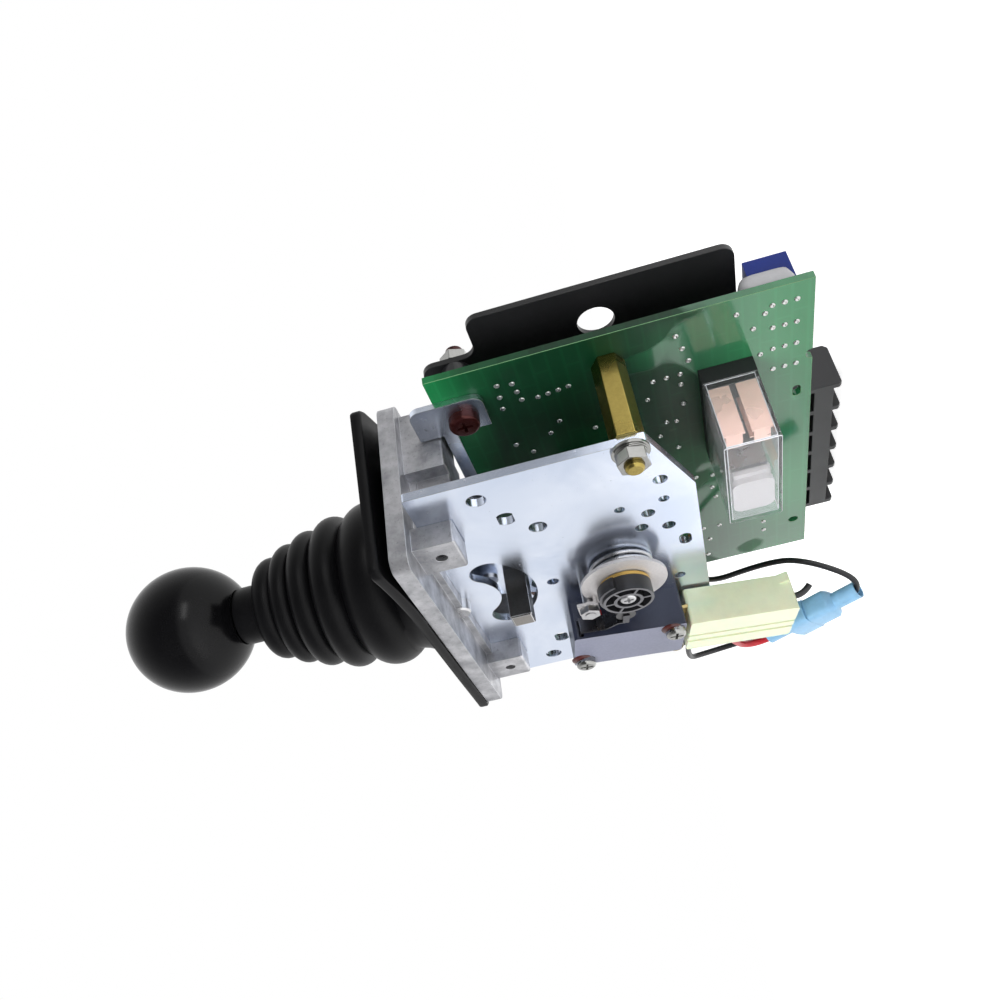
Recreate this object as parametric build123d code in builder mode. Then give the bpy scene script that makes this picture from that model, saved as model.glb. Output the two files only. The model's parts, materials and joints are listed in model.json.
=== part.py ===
from build123d import *
import os
from math import acos, cos, pi, radians, sin, sqrt, tan

# A single-axis industrial lever controller, in millimetres.
# +Z runs along the upright lever towards its knob, X is the lever's swing, and
# the zinc side plate faces -Y. The origin is the centre of the flange's panel face.

os.makedirs("parts", exist_ok=True)

# Casting
flange_length = 80.0
flange_width = 43.0
flange_thick = 4.0
flange_corner = 3.0
pad_height = 1.6
pad_length = 66.0
pad_near = 13.4
pad_far = 13.0
boss_depth = 9.3
boss_length = 10.8
boss_centre = 31.0
near_boss_width = 5.4
far_boss_width = 9.1
end_block_inner = 22.0
end_block_outer = 32.5
end_block_step = 7.0
opening_length = 24.0
opening_near = 6.6
opening_far = 8.3
panel_hole_pitch_x = 62.0
panel_hole_pitch_y = 27.0
panel_hole_radius = 1.25
panel_hole_depth = 6.8
cross_hole_radius = 1.3
cross_hole_z = -8.9

# Side plate and rear strap
plate_outer_y = -10.8
plate_thick = 2.0
plate_half = 46.7
plate_end_z = -64.0
plate_chamfer_z = -55.7
plate_chamfer_x = 27.0
strap_y = 10.5
strap_thick = 1.5
strap_half = 46.7
strap_ear_width = 9.9
strap_ear_z = -8.7
strap_top_z = -14.0
strap_low_z = -17.0
strap_end_z = -25.0
strap_tongue_half = 15.0

# Lever
pivot_z = -4.5
pivot_radius = 2.5
running_gap = 0.05
hub_radius = 6.5
hub_near = 6.3
hub_far = 8.0
bush_wall = 1.0
stem_radius = 5.0
stud_radius = 4.0
knob_radius = 16.0
knob_z = 66.0
knob_flat = 14.2
insert_radius = 6.0
insert_length = 16.0
stud_length = 14.0
tail_half_width = 5.5
tail_half_thick = 3.3
tail_end = 24.0
bar_radius = 14.6
bar_width = 5.0
bar_height = 5.2
bar_reach = 8.4
slot_width = 8.8
slot_half_angle = 47.0

# Rubber boot, its ridges and the valleys above them from the foot up
ridge_z = [15.1, 23.6, 30.6, 36.3, 40.9]
ridge_radius = [20.4, 19.1, 17.2, 15.2, 12.9]
valley_z = [19.8, 27.5, 33.7, 38.7, 43.5]
valley_radius = [17.0, 15.4, 13.4, 11.3, 7.3]
boot_wall = 1.4
collar_radius = 7.3
collar_gap = 0.2
foot_radius = 18.0
boot_foot_z = 7.9
spread_length = 46.0
spread_width = 38.0
skirt_thick = 2.4
skirt_over = 0.6
skirt_far_lift = 3.9
skirt_near_lift = 2.0
skirt_curl = 26.0
skirt_hole_radius = 1.8

# Gears
module = 1.0
sector_teeth = 60
sector_teeth_cut = 13
pinion_teeth = 19
gear_thick = 3.0
backlash = 0.16
window_radius = 21.0
window_width = 5.0
rivet_radius = 1.25
rivet_above = 6.3
rivet_below = 6.6

# Cam stack on the side plate
shaft_radius = 2.5
spring_radius = 7.2
spring_wire = 1.1
spring_space = 4.1
ring_gap = 0.3
disc_radius = 10.2
disc_thick = 0.8
ring_radius = 6.0
ring_thick = 0.8
drum_radius = 6.0
drum_length = 3.8
drum_end_wall = 1.6
hub_recess_radius = 2.7
drum_head_radius = 2.0
lobe_height = 0.7
lobe_length = 2.9
stud_x = -5.0
stud_offset_z = 9.6
ear_width = 4.6
ear_thick = 0.8
ear_back = 2.7
ear_nut_flats = 4.4
ear_nut_height = 1.6
stud_screw_radius = 1.25
sensor_width = 16.0
sensor_height = 18.0
sensor_depth = 6.0

# Micro switch
switch_x = -23.5
switch_z = -41.0
switch_turn = 10.3
switch_length = 27.8
switch_height = 15.5
switch_thick = 10.1
switch_hole_pitch_x = 22.2
switch_hole_pitch_y = 10.3
switch_hole_radius = 1.6
roller_radius = 2.4
roller_width = 2.8
roller_gap = 0.4
axle_radius = 0.8
leaf_width = 4.0
cheek_thick = 0.5
leaf_thick = 0.4
plunger_height = 1.2
plunger_x = -7.4
plunger_gap = 0.3
leaf_leg = 2.5
leaf_shift = 2.2
tab_heights = [-5.0, 0.0, 5.0]
tab_width = 3.2
tab_thick = 0.8
tab_root = 1.0
tab_reach = 7.0
screw_head_radius = 2.5
screw_head_height = 2.0
housing_length = 27.0
housing_height = 15.0
housing_shift = -0.6
housing_low = 0.6
housing_thick = 9.6

# Board and what it carries
board_y = 12.0
board_thick = 1.8
board_half = 53.4
board_start_z = -14.5
board_end_z = -95.5
relay_low_x = 4.0
relay_length = 30.6
relay_start_z = -70.6
relay_width = 12.0
relay_height = 21.6
relay_wall = 0.7
relay_base_height = 4.0
trimmer_pitch = 6.75
trimmer_edge_gap = 2.4
trimmer_count = 4
trimmer_length = 9.1
trimmer_width = 4.8
trimmer_height = 9.3
trimmer_z = -88.35
trimmer_screw_shift = 3.1
block_pitch = 8.53
block_poles = 6
block_low_x = -37.6
block_wall = 1.6
block_back_z = -87.0
block_front_z = -96.2
block_tip_z = -103.4
block_height = 11.9
block_floor = 5.5

# Fixings
standoff_x = 44.4
standoff_z = -52.3
standoff_flats = 6.3
screw_radius = 2.0
nut_flats = 6.2
nut_height = 2.6
washer_radius = 4.0
washer_thick = 1.2
strap_screw_x = 40.6
strap_screw_z = -19.7
guard_y = 24.4
guard_thick = 1.5
guard_half = 55.2
guard_step = 11.2

# Leads and their splice
lead_radius = 0.75
red_lead_radius = 0.95
spare_lead_radius = 0.8
splice_y = -15.0
splice_low = (-51.5, -77.5)
splice_high = (-35.0, -100.4)
barrel_radius = 2.3
barrel_bore = 1.95
bore_depth = 5.0
barrel_length = 8.0
splice_body_width = 9.6
splice_body_thick = 6.4

# Places worked out from the driving sizes
knob_base = knob_z - knob_flat
stem_top = knob_base
collar_top = knob_base - collar_gap
plate_inner_y = plate_outer_y + plate_thick
pad_z = -flange_thick - pad_height
boss_z = -flange_thick - boss_depth
sector_radius = module * sector_teeth / 2
pinion_radius = module * pinion_teeth / 2
shaft_z = pivot_z - sector_radius - pinion_radius
gear_near = -hub_near
tail_near = gear_near + gear_thick
disc_y = plate_outer_y - spring_space - disc_thick
ring_y = disc_y - ring_gap - ring_thick
drum_y = ring_y - drum_length
bar_z = pivot_z - bar_radius
pin_near_y = plate_outer_y - 3.0
board_far_y = board_y + board_thick
strap_far_y = strap_y + strap_thick
pin_far_y = strap_far_y + 0.5
strap_inner = strap_half - strap_ear_width
ear_y = drum_y + ear_back
sensor_near_y = board_y - sensor_depth
trimmer_first_x = (
    board_half - trimmer_edge_gap - trimmer_width / 2 - (trimmer_count - 1) * trimmer_pitch
)
guard_step_half = guard_half - guard_step


def near_face(y, x=0.0, z=0.0):
    """A plane that looks along -Y, with its own axes along +X and +Z."""
    return Plane(origin=(x, y, z), x_dir=(1, 0, 0), z_dir=(0, -1, 0))


def switch_face(height):
    """The micro switch's own plane, its length towards the leads and +Y to the cam."""
    turn = radians(switch_turn)
    centre = (switch_x, plate_outer_y - height, switch_z)
    return Plane(origin=centre, x_dir=(-sin(turn), 0, -cos(turn)), z_dir=(0, -1, 0))


def involute(angle):
    return tan(angle) - angle


def tooth_points(teeth, play):
    """One gear tooth that points along +X, from root to tip and back."""
    pitch_radius = module * teeth / 2
    base = pitch_radius * cos(radians(20))
    root = pitch_radius - 1.25 * module
    tip = pitch_radius + 0.95 * module
    half = pi / (2 * teeth) - play / (2 * pitch_radius) + involute(radians(20))
    start = max(base, root)
    steps = 5
    flank = []
    for step in range(steps + 1):
        radius = start + (tip - start) * step / steps
        flank.append((radius, half - involute(acos(base / radius))))
    inner = root - 0.4 * module
    flank.insert(0, (inner, half))
    upper = [(r * cos(a), r * sin(a)) for r, a in flank]
    lower = [(r * cos(a), -r * sin(a)) for r, a in reversed(flank)]
    return upper + lower


# The die-cast flange, with end blocks that the side plate is clamped against
with BuildPart() as mounting_flange:
    with BuildSketch(Plane.XY):
        Rectangle(flange_length, flange_width)
        fillet(vertices(), flange_corner)
    extrude(amount=-flange_thick)
    with BuildSketch(Plane.XY.offset(-flange_thick)):
        with Locations((0, (pad_far - pad_near) / 2)):
            Rectangle(pad_length, pad_near + pad_far)
    extrude(amount=-pad_height)
    block_length = end_block_outer - end_block_inner
    block_centre = (end_block_outer + end_block_inner) / 2
    with BuildSketch(Plane.XY.offset(-flange_thick)):
        with Locations((block_centre, (plate_inner_y + strap_y) / 2)):
            Rectangle(block_length, strap_y - plate_inner_y)
        with Locations((-block_centre, (plate_inner_y + strap_y) / 2)):
            Rectangle(block_length, strap_y - plate_inner_y)
        for side in (-1, 1):
            with Locations((side * boss_centre, plate_outer_y - near_boss_width / 2)):
                Rectangle(boss_length, near_boss_width)
            with Locations((side * boss_centre, strap_y + far_boss_width / 2)):
                Rectangle(boss_length, far_boss_width)
            with Locations((side * boss_centre, strap_y - end_block_step / 2)):
                Rectangle(boss_length, end_block_step)
        with Locations((0, (opening_far + strap_y) / 2)):
            Rectangle(2 * strap_tongue_half, strap_y - opening_far)
    extrude(amount=-boss_depth)
    with BuildSketch(Plane.XY):
        with Locations((0, (opening_far - opening_near) / 2)):
            Rectangle(opening_length, opening_far + opening_near)
    extrude(amount=boss_z, mode=Mode.SUBTRACT)
    # The rear edges of the bosses and blocks are rounded as cast
    fillet(edges().filter_by(GeomType.LINE).group_by(Axis.Z)[0], 0.6)
    # An open saddle takes the pivot pin from behind
    with BuildSketch(near_face(pin_far_y, 0, pivot_z)):
        Circle(pivot_radius)
        with Locations((0, (boss_z - pivot_z) / 2)):
            Rectangle(2 * pivot_radius, pivot_z - boss_z)
    extrude(amount=pin_far_y - pin_near_y, mode=Mode.SUBTRACT)
    with BuildSketch(Plane.XY):
        with GridLocations(panel_hole_pitch_x, panel_hole_pitch_y, 2, 2):
            Circle(panel_hole_radius)
    extrude(amount=-panel_hole_depth, mode=Mode.SUBTRACT)
    with BuildSketch(near_face(plate_outer_y)):
        for side in (-1, 1):
            with Locations((side * boss_centre, cross_hole_z)):
                Circle(cross_hole_radius)
    extrude(amount=near_boss_width, mode=Mode.SUBTRACT)
    with BuildSketch(near_face(strap_y)):
        for side in (-1, 1):
            with Locations((side * 0.6 * strap_tongue_half, cross_hole_z)):
                Circle(cross_hole_radius)
    extrude(amount=strap_y - opening_far, mode=Mode.SUBTRACT)
mounting_flange.part.label = "mounting_flange"
export_step(mounting_flange.part, "parts/mounting_flange.step")

# Hex-socket set screws in the near bosses press the side plate home
with BuildPart() as plate_set_screws:
    with BuildSketch(near_face(plate_outer_y)):
        for side in (-1, 1):
            with Locations((side * boss_centre, cross_hole_z)):
                Circle(cross_hole_radius)
    extrude(amount=near_boss_width - 0.8)
    with BuildSketch(near_face(plate_outer_y - near_boss_width + 0.8)):
        for side in (-1, 1):
            with Locations((side * boss_centre, cross_hole_z)):
                RegularPolygon(0.75, 6)
    extrude(amount=-1.6, mode=Mode.SUBTRACT)
plate_set_screws.part.label = "plate_set_screws"
export_step(plate_set_screws.part, "parts/plate_set_screws.step")

# Zinc-plated side plate: (x, z, radius) of its plain holes
plain_holes = [
    (40.6, -19.7, 2.1),
    (25.1, -29.4, 2.0),
    (31.6, -56.9, 1.55),
    (23.9, -56.9, 1.15),
    (23.7, -47.2, 1.15),
    (19.6, -53.0, 1.5),
    (14.2, -50.9, 1.5),
    (12.5, -56.9, 1.5),
    (-0.5, -27.6, 1.4),
    (-12.3, -57.2, 1.35),
    (-40.6, -19.7, 2.1),
]
with BuildPart() as side_plate:
    with BuildSketch(near_face(plate_inner_y)):
        with BuildLine():
            Polyline(
                (plate_half, pad_z),
                (plate_half, plate_chamfer_z),
                (plate_chamfer_x, plate_end_z),
                (-plate_chamfer_x, plate_end_z),
                (-plate_half, plate_chamfer_z),
                (-plate_half, pad_z),
                close=True,
            )
        make_face()
        fillet(vertices(), 0.8)
        with Locations((0, pivot_z)):
            Circle(pivot_radius, mode=Mode.SUBTRACT)
        with BuildLine(mode=Mode.PRIVATE) as slot_line:
            CenterArc((0, pivot_z), bar_radius, -90 - slot_half_angle, 2 * slot_half_angle)
        SlotArc(slot_line.wires()[0], slot_width, mode=Mode.SUBTRACT)
        for x, z, radius in plain_holes:
            with Locations((x, z)):
                Circle(radius, mode=Mode.SUBTRACT)
        # Two-flatted hole and its twin, and the long adjusting slots
        with Locations((31.3, -23.7), (-31.3, -23.7)):
            with BuildSketch(mode=Mode.PRIVATE) as flatted:
                Circle(2.3)
                Rectangle(5.0, 3.4, mode=Mode.INTERSECT)
            add(flatted.sketch, mode=Mode.SUBTRACT)
        with Locations((4.8, -60.0)):
            SlotOverall(4.6, 2.8, mode=Mode.SUBTRACT)
        with Locations((standoff_x, standoff_z), (-standoff_x, standoff_z)):
            Circle(screw_radius, mode=Mode.SUBTRACT)
        with Locations((0, shaft_z)):
            Circle(shaft_radius + 1.5, mode=Mode.SUBTRACT)
        turn = radians(switch_turn)
        for side in (-1, 1):
            along = side * switch_hole_pitch_x / 2
            across = -side * switch_hole_pitch_y / 2
            hole_x = switch_x + along * sin(turn) + across * cos(turn)
            hole_z = switch_z + along * cos(turn) - across * sin(turn)
            with Locations((hole_x, hole_z)):
                Circle(switch_hole_radius, mode=Mode.SUBTRACT)
        with Locations((stud_x, shaft_z + stud_offset_z)):
            Circle(stud_screw_radius, mode=Mode.SUBTRACT)
    extrude(amount=plate_thick)
side_plate.part.label = "side_plate"
export_step(side_plate.part, "parts/side_plate.step")

# Pivot pin, caught in the saddle by the side plate and the rear strap
with BuildPart() as pivot_pin:
    with BuildSketch(near_face(pin_far_y, 0, pivot_z)):
        Circle(pivot_radius)
    extrude(amount=pin_far_y - pin_near_y)
    chamfer(edges().filter_by(GeomType.CIRCLE), 0.4)
pivot_pin.part.label = "pivot_pin"
export_step(pivot_pin.part, "parts/pivot_pin.step")

rivet_spots = [(0, bar_z + rivet_above), (0, bar_z - rivet_below)]

# Forged lever: hub, stem to the knob and tail down to the cross bar
bush_radius = pivot_radius + running_gap + bush_wall
with BuildPart() as lever_body:
    with BuildSketch(near_face(hub_far, 0, pivot_z)):
        Circle(hub_radius)
    extrude(amount=hub_far - tail_near)
    with BuildSketch(Plane.XY.offset(pivot_z)):
        Circle(stem_radius)
    extrude(amount=stem_top - pivot_z)
    with BuildSketch(near_face(tail_half_thick)):
        with BuildLine():
            Polyline(
                (-hub_radius + 0.5, pivot_z),
                (hub_radius - 0.5, pivot_z),
                (tail_half_width, pivot_z - tail_end + 3),
                (tail_half_width - 3, pivot_z - tail_end),
                (-tail_half_width + 3, pivot_z - tail_end),
                (-tail_half_width, pivot_z - tail_end + 3),
                close=True,
            )
        make_face()
    extrude(amount=tail_half_thick - tail_near)
    # The sector's round boss sits in a relief in the stem's root
    with BuildSketch(near_face(tail_near, 0, pivot_z)):
        Circle(hub_radius + 0.3)
    extrude(amount=hub_near, mode=Mode.SUBTRACT)
    with BuildSketch(Plane.XY.offset(stem_top)):
        Circle(stud_radius)
    extrude(amount=stud_length)
    with BuildSketch(near_face(hub_far, 0, pivot_z)):
        Circle(bush_radius)
    extrude(amount=hub_far + hub_near, mode=Mode.SUBTRACT)
    with BuildSketch(near_face(hub_far)):
        with Locations((0, bar_z)):
            Rectangle(bar_width, bar_height)
        with Locations(*rivet_spots):
            Circle(rivet_radius)
    extrude(amount=hub_far + hub_near, mode=Mode.SUBTRACT)
lever_body.part.label = "lever_body"
export_step(lever_body.part, "parts/lever_body.step")

# Bronze bush in the lever's hub
with BuildPart() as lever_bush:
    with BuildSketch(near_face(hub_far, 0, pivot_z)):
        Circle(bush_radius)
        Circle(pivot_radius + running_gap, mode=Mode.SUBTRACT)
    extrude(amount=hub_far + hub_near)
lever_bush.part.label = "lever_bush"
export_step(lever_bush.part, "parts/lever_bush.step")

# Square cross bar that works through the curved slot
with BuildPart() as drive_bar:
    bar_far_y = tail_half_thick
    with BuildSketch(near_face(bar_far_y, 0, bar_z)):
        Rectangle(bar_width, bar_height)
    extrude(amount=bar_far_y - plate_outer_y + bar_reach)
    chamfer(faces().sort_by(Axis.Y)[0].edges(), 0.3)
drive_bar.part.label = "drive_bar"
export_step(drive_bar.part, "parts/drive_bar.step")

# Sector gear on the tail's near face
sector_span = (sector_teeth_cut - 1) * 360 / sector_teeth
sector_root = sector_radius - 1.25 * module
with BuildSketch() as sector_tooth:
    with BuildLine():
        Polyline(*tooth_points(sector_teeth, backlash), close=True)
    make_face()
with BuildPart() as sector_gear:
    with BuildSketch(near_face(tail_near, 0, pivot_z)):
        Circle(sector_root)
        with BuildSketch(mode=Mode.PRIVATE) as fan:
            half = radians(sector_span / 2 + 2)
            reach = (sector_radius + 4) / cos(half)
            side = radians(sector_span / 2 - 4)
            with BuildLine():
                Polyline(
                    (-hub_radius, 0),
                    (-hub_radius, -3),
                    ((-sector_root + 3) * sin(side), (-sector_root + 3) * cos(side)),
                    ((-sector_root + 1.5) * sin(half), (-sector_root + 1.5) * cos(half)),
                    (-reach * sin(half), -reach * cos(half)),
                    (reach * sin(half), -reach * cos(half)),
                    ((sector_root - 1.5) * sin(half), (-sector_root + 1.5) * cos(half)),
                    ((sector_root - 3) * sin(side), (-sector_root + 3) * cos(side)),
                    (hub_radius, -3),
                    (hub_radius, 0),
                    close=True,
                )
            make_face()
        add(fan.sketch, mode=Mode.INTERSECT)
        Circle(hub_radius, mode=Mode.ADD)
        Circle(bush_radius, mode=Mode.SUBTRACT)
        with PolarLocations(
            0, sector_teeth_cut, -90 - sector_span / 2, sector_span, endpoint=True
        ):
            add(sector_tooth.sketch)
        with Locations((0, -bar_radius)):
            Rectangle(bar_width, bar_height, mode=Mode.SUBTRACT)
        with Locations(*[(x, z - pivot_z) for x, z in rivet_spots]):
            Circle(rivet_radius, mode=Mode.SUBTRACT)
        # Two lightening windows
        for middle in (-19.5, 19.5):
            with BuildLine(mode=Mode.PRIVATE) as window:
                CenterArc((0, 0), window_radius, -90 + middle - 3, 6)
            SlotArc(window.wires()[0], window_width, mode=Mode.SUBTRACT)
    extrude(amount=gear_thick)
sector_gear.part.label = "sector_gear"
export_step(sector_gear.part, "parts/sector_gear.step")

# Rivets that hold the sector on the tail
with BuildPart() as sector_rivets:
    with BuildSketch(near_face(tail_half_thick)):
        with Locations(*rivet_spots):
            Circle(rivet_radius)
    extrude(amount=tail_half_thick - gear_near)
    with BuildSketch(near_face(gear_near)):
        with Locations(*rivet_spots):
            Circle(rivet_radius + 0.65)
    extrude(amount=0.6)
sector_rivets.part.label = "sector_rivets"
export_step(sector_rivets.part, "parts/sector_rivets.step")

# Ball knob with its moulded-in brass thread insert
with BuildPart() as ball_knob:
    with BuildSketch(Plane.XZ):
        with BuildLine():
            rim = sqrt(knob_radius**2 - knob_flat**2)
            ThreePointArc((rim, knob_base), (knob_radius, knob_z), (0, knob_z + knob_radius))
            Polyline((0, knob_z + knob_radius), (0, knob_base), (rim, knob_base))
        make_face()
    revolve(axis=Axis.Z)
    with BuildSketch(Plane.XY.offset(knob_base)):
        Circle(insert_radius)
    extrude(amount=insert_length, mode=Mode.SUBTRACT)
ball_knob.part.label = "ball_knob"
export_step(ball_knob.part, "parts/ball_knob.step")

with BuildPart() as knob_insert:
    with BuildSketch(Plane.XY.offset(knob_base)):
        Circle(insert_radius)
        Circle(stud_radius, mode=Mode.SUBTRACT)
    extrude(amount=insert_length)
knob_insert.part.label = "knob_insert"
export_step(knob_insert.part, "parts/knob_insert.step")

# Rubber boot: five growing convolutions, a collar, and a square skirt that curls up at +X
skirt_half_x = flange_length / 2 + skirt_over
skirt_half_y = flange_width / 2 + skirt_over
with BuildPart() as boot:
    for y, lift in ((skirt_half_y, skirt_far_lift), (-skirt_half_y, skirt_near_lift)):
        with BuildSketch(near_face(y)):
            with BuildLine():
                flat_x = skirt_half_x - skirt_curl
                Spline(
                    (skirt_half_x, lift),
                    (flat_x + 0.65 * skirt_curl, 0.48 * lift),
                    (flat_x + 0.31 * skirt_curl, 0.11 * lift),
                    (flat_x, 0),
                    tangents=((-1, -0.11 * lift), (-1, 0)),
                )
                Polyline(
                    (flat_x, 0), (-skirt_half_x, 0), (-skirt_half_x, skirt_thick), (flat_x, skirt_thick)
                )
                Spline(
                    (flat_x, skirt_thick),
                    (flat_x + 0.31 * skirt_curl, skirt_thick + 0.11 * lift),
                    (flat_x + 0.62 * skirt_curl, skirt_thick + 0.48 * lift),
                    (skirt_half_x - 1.0, skirt_thick + lift),
                    tangents=((1, 0), (1, 0.11 * lift)),
                )
                Line((skirt_half_x - 1.0, skirt_thick + lift), (skirt_half_x, lift))
            make_face()
    loft(ruled=True)
    with BuildSketch(Plane.XY):
        RectangleRounded(2 * skirt_half_x, 2 * skirt_half_y, flange_corner)
    extrude(amount=boot_foot_z, mode=Mode.INTERSECT)
    with BuildSketch(Plane.XY):
        RectangleRounded(spread_length - 2 * boot_wall, spread_width - 2 * boot_wall, 10.6)
    extrude(amount=boot_foot_z, mode=Mode.SUBTRACT)
    with BuildSketch(Plane.XY):
        with GridLocations(panel_hole_pitch_x, panel_hole_pitch_y, 2, 2):
            Circle(skirt_hole_radius)
    extrude(amount=boot_foot_z, mode=Mode.SUBTRACT)
    with BuildSketch(Plane.XZ):
        with BuildLine():
            foot = (foot_radius, boot_foot_z)
            outer_low = foot
            for index in range(len(ridge_z)):
                outer_high = (valley_radius[index], valley_z[index])
                ThreePointArc(outer_low, (ridge_radius[index], ridge_z[index]), outer_high)
                outer_low = outer_high
            Polyline(
                outer_low,
                (collar_radius, collar_top),
                (valley_radius[-1] - boot_wall, collar_top),
                (valley_radius[-1] - boot_wall, valley_z[-1]),
            )
            inner = []
            for index in range(len(ridge_z) - 1, -1, -1):
                inner.append((valley_radius[index] - boot_wall, valley_z[index]))
                inner.append((ridge_radius[index] - boot_wall, ridge_z[index]))
            Polyline(*inner, (foot_radius - boot_wall, boot_foot_z), foot)
        make_face()
    revolve(axis=Axis.Z)
    # The foot spreads from the round bellows to the square skirt
    with BuildSketch(Plane.XY.offset(boot_foot_z)):
        Circle(foot_radius)
        Circle(foot_radius - boot_wall, mode=Mode.SUBTRACT)
    with BuildSketch(Plane.XY):
        RectangleRounded(spread_length, spread_width, 12)
        RectangleRounded(
            spread_length - 2 * boot_wall, spread_width - 2 * boot_wall, 10.6, mode=Mode.SUBTRACT
        )
    loft()
boot.part.label = "boot"
export_step(boot.part, "parts/boot.step")

# Cam shaft with its pinion, bearing bush, friction spring, disc, ring and drum
with BuildPart() as cam_shaft:
    with BuildSketch(near_face(sensor_near_y + 4, 0, shaft_z)):
        Circle(shaft_radius)
    extrude(amount=sensor_near_y + 4 - drum_y - drum_end_wall)
    chamfer(edges().filter_by(GeomType.CIRCLE), 0.3)
    with BuildSketch(near_face(drum_y, 0, shaft_z)):
        Circle(1.0)
    extrude(amount=-8, mode=Mode.SUBTRACT)
cam_shaft.part.label = "cam_shaft"
export_step(cam_shaft.part, "parts/cam_shaft.step")

with BuildSketch() as pinion_tooth:
    with BuildLine():
        Polyline(*tooth_points(pinion_teeth, backlash), close=True)
    make_face()
with BuildPart() as pinion_gear:
    with BuildSketch(near_face(tail_near, 0, shaft_z)):
        Circle(pinion_radius - 1.25 * module)
        with PolarLocations(0, pinion_teeth, 90 + 180 / pinion_teeth):
            add(pinion_tooth.sketch)
        Circle(shaft_radius, mode=Mode.SUBTRACT)
    extrude(amount=gear_thick)
    with BuildSketch(near_face(tail_near + 3.5, 0, shaft_z)):
        Circle(5.0)
        Circle(shaft_radius, mode=Mode.SUBTRACT)
    extrude(amount=3.5)
pinion_gear.part.label = "pinion_gear"
export_step(pinion_gear.part, "parts/pinion_gear.step")

with BuildPart() as shaft_bearing:
    with BuildSketch(near_face(plate_inner_y, 0, shaft_z)):
        Circle(shaft_radius + 1.5)
    extrude(amount=plate_thick)
    with BuildSketch(near_face(plate_inner_y + 1.0, 0, shaft_z)):
        Circle(shaft_radius + 3.0)
    extrude(amount=1.0)
    with BuildSketch(near_face(plate_inner_y + 1.0, 0, shaft_z)):
        Circle(shaft_radius + running_gap)
    extrude(amount=1.0 + plate_thick, mode=Mode.SUBTRACT)
shaft_bearing.part.label = "shaft_bearing"
export_step(shaft_bearing.part, "parts/shaft_bearing.step")

with BuildPart() as friction_spring:
    turns_height = spring_space - spring_wire - 0.02
    start_y = plate_outer_y - spring_wire / 2 - 0.01
    with BuildLine():
        coil = Helix(
            pitch=spring_wire + 0.3,
            height=turns_height,
            radius=spring_radius,
            center=(0, start_y, shaft_z),
            direction=(0, -1, 0),
        )
        coil_start = coil @ 0
        coil_way = coil % 0
    with BuildSketch(Plane(origin=coil_start, z_dir=coil_way)):
        Circle(spring_wire / 2)
    sweep(is_frenet=True)
friction_spring.part.label = "friction_spring"
export_step(friction_spring.part, "parts/friction_spring.step")

# The disc is held still by an ear that is clamped on a stud in the side plate
with BuildPart() as friction_disc:
    with BuildSketch(near_face(disc_y + disc_thick, 0, shaft_z)):
        Circle(disc_radius)
        Circle(shaft_radius + 0.2, mode=Mode.SUBTRACT)
    extrude(amount=disc_thick)
    with BuildSketch(near_face(disc_y + disc_thick, stud_x, shaft_z + stud_offset_z)):
        with Locations((0, -1.8)):
            Rectangle(ear_width, ear_thick)
    extrude(amount=disc_y + disc_thick - ear_y)
    with BuildSketch(near_face(ear_y + ear_thick, stud_x, shaft_z + stud_offset_z)):
        with Locations((0, 0.3)):
            Rectangle(ear_width, ear_width)
        Circle(stud_screw_radius + 0.05, mode=Mode.SUBTRACT)
    extrude(amount=ear_thick)
    with BuildSketch(near_face(disc_y + disc_thick, stud_x, shaft_z + stud_offset_z)):
        Circle(stud_screw_radius + 0.2)
    extrude(amount=disc_thick, mode=Mode.SUBTRACT)
friction_disc.part.label = "friction_disc"
export_step(friction_disc.part, "parts/friction_disc.step")

with BuildPart() as ear_stud:
    with BuildSketch(near_face(plate_inner_y, stud_x, shaft_z + stud_offset_z)):
        Circle(stud_screw_radius)
    extrude(amount=plate_inner_y - ear_y + ear_nut_height + 0.2)
    with BuildSketch(near_face(plate_inner_y + 1.2, stud_x, shaft_z + stud_offset_z)):
        Circle(stud_screw_radius + 1.0)
    extrude(amount=1.2)
ear_stud.part.label = "ear_stud"
export_step(ear_stud.part, "parts/ear_stud.step")

with BuildPart() as ear_nut:
    with BuildSketch(near_face(ear_y, stud_x, shaft_z + stud_offset_z)):
        RegularPolygon(ear_nut_flats / 2, 6, major_radius=False)
        Circle(stud_screw_radius, mode=Mode.SUBTRACT)
    extrude(amount=ear_nut_height)
ear_nut.part.label = "ear_nut"
export_step(ear_nut.part, "parts/ear_nut.step")

with BuildPart() as friction_ring:
    with BuildSketch(near_face(disc_y - ring_gap, 0, shaft_z)):
        Circle(ring_radius)
        Circle(shaft_radius, mode=Mode.SUBTRACT)
    extrude(amount=ring_thick)
friction_ring.part.label = "friction_ring"
export_step(friction_ring.part, "parts/friction_ring.step")

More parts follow.
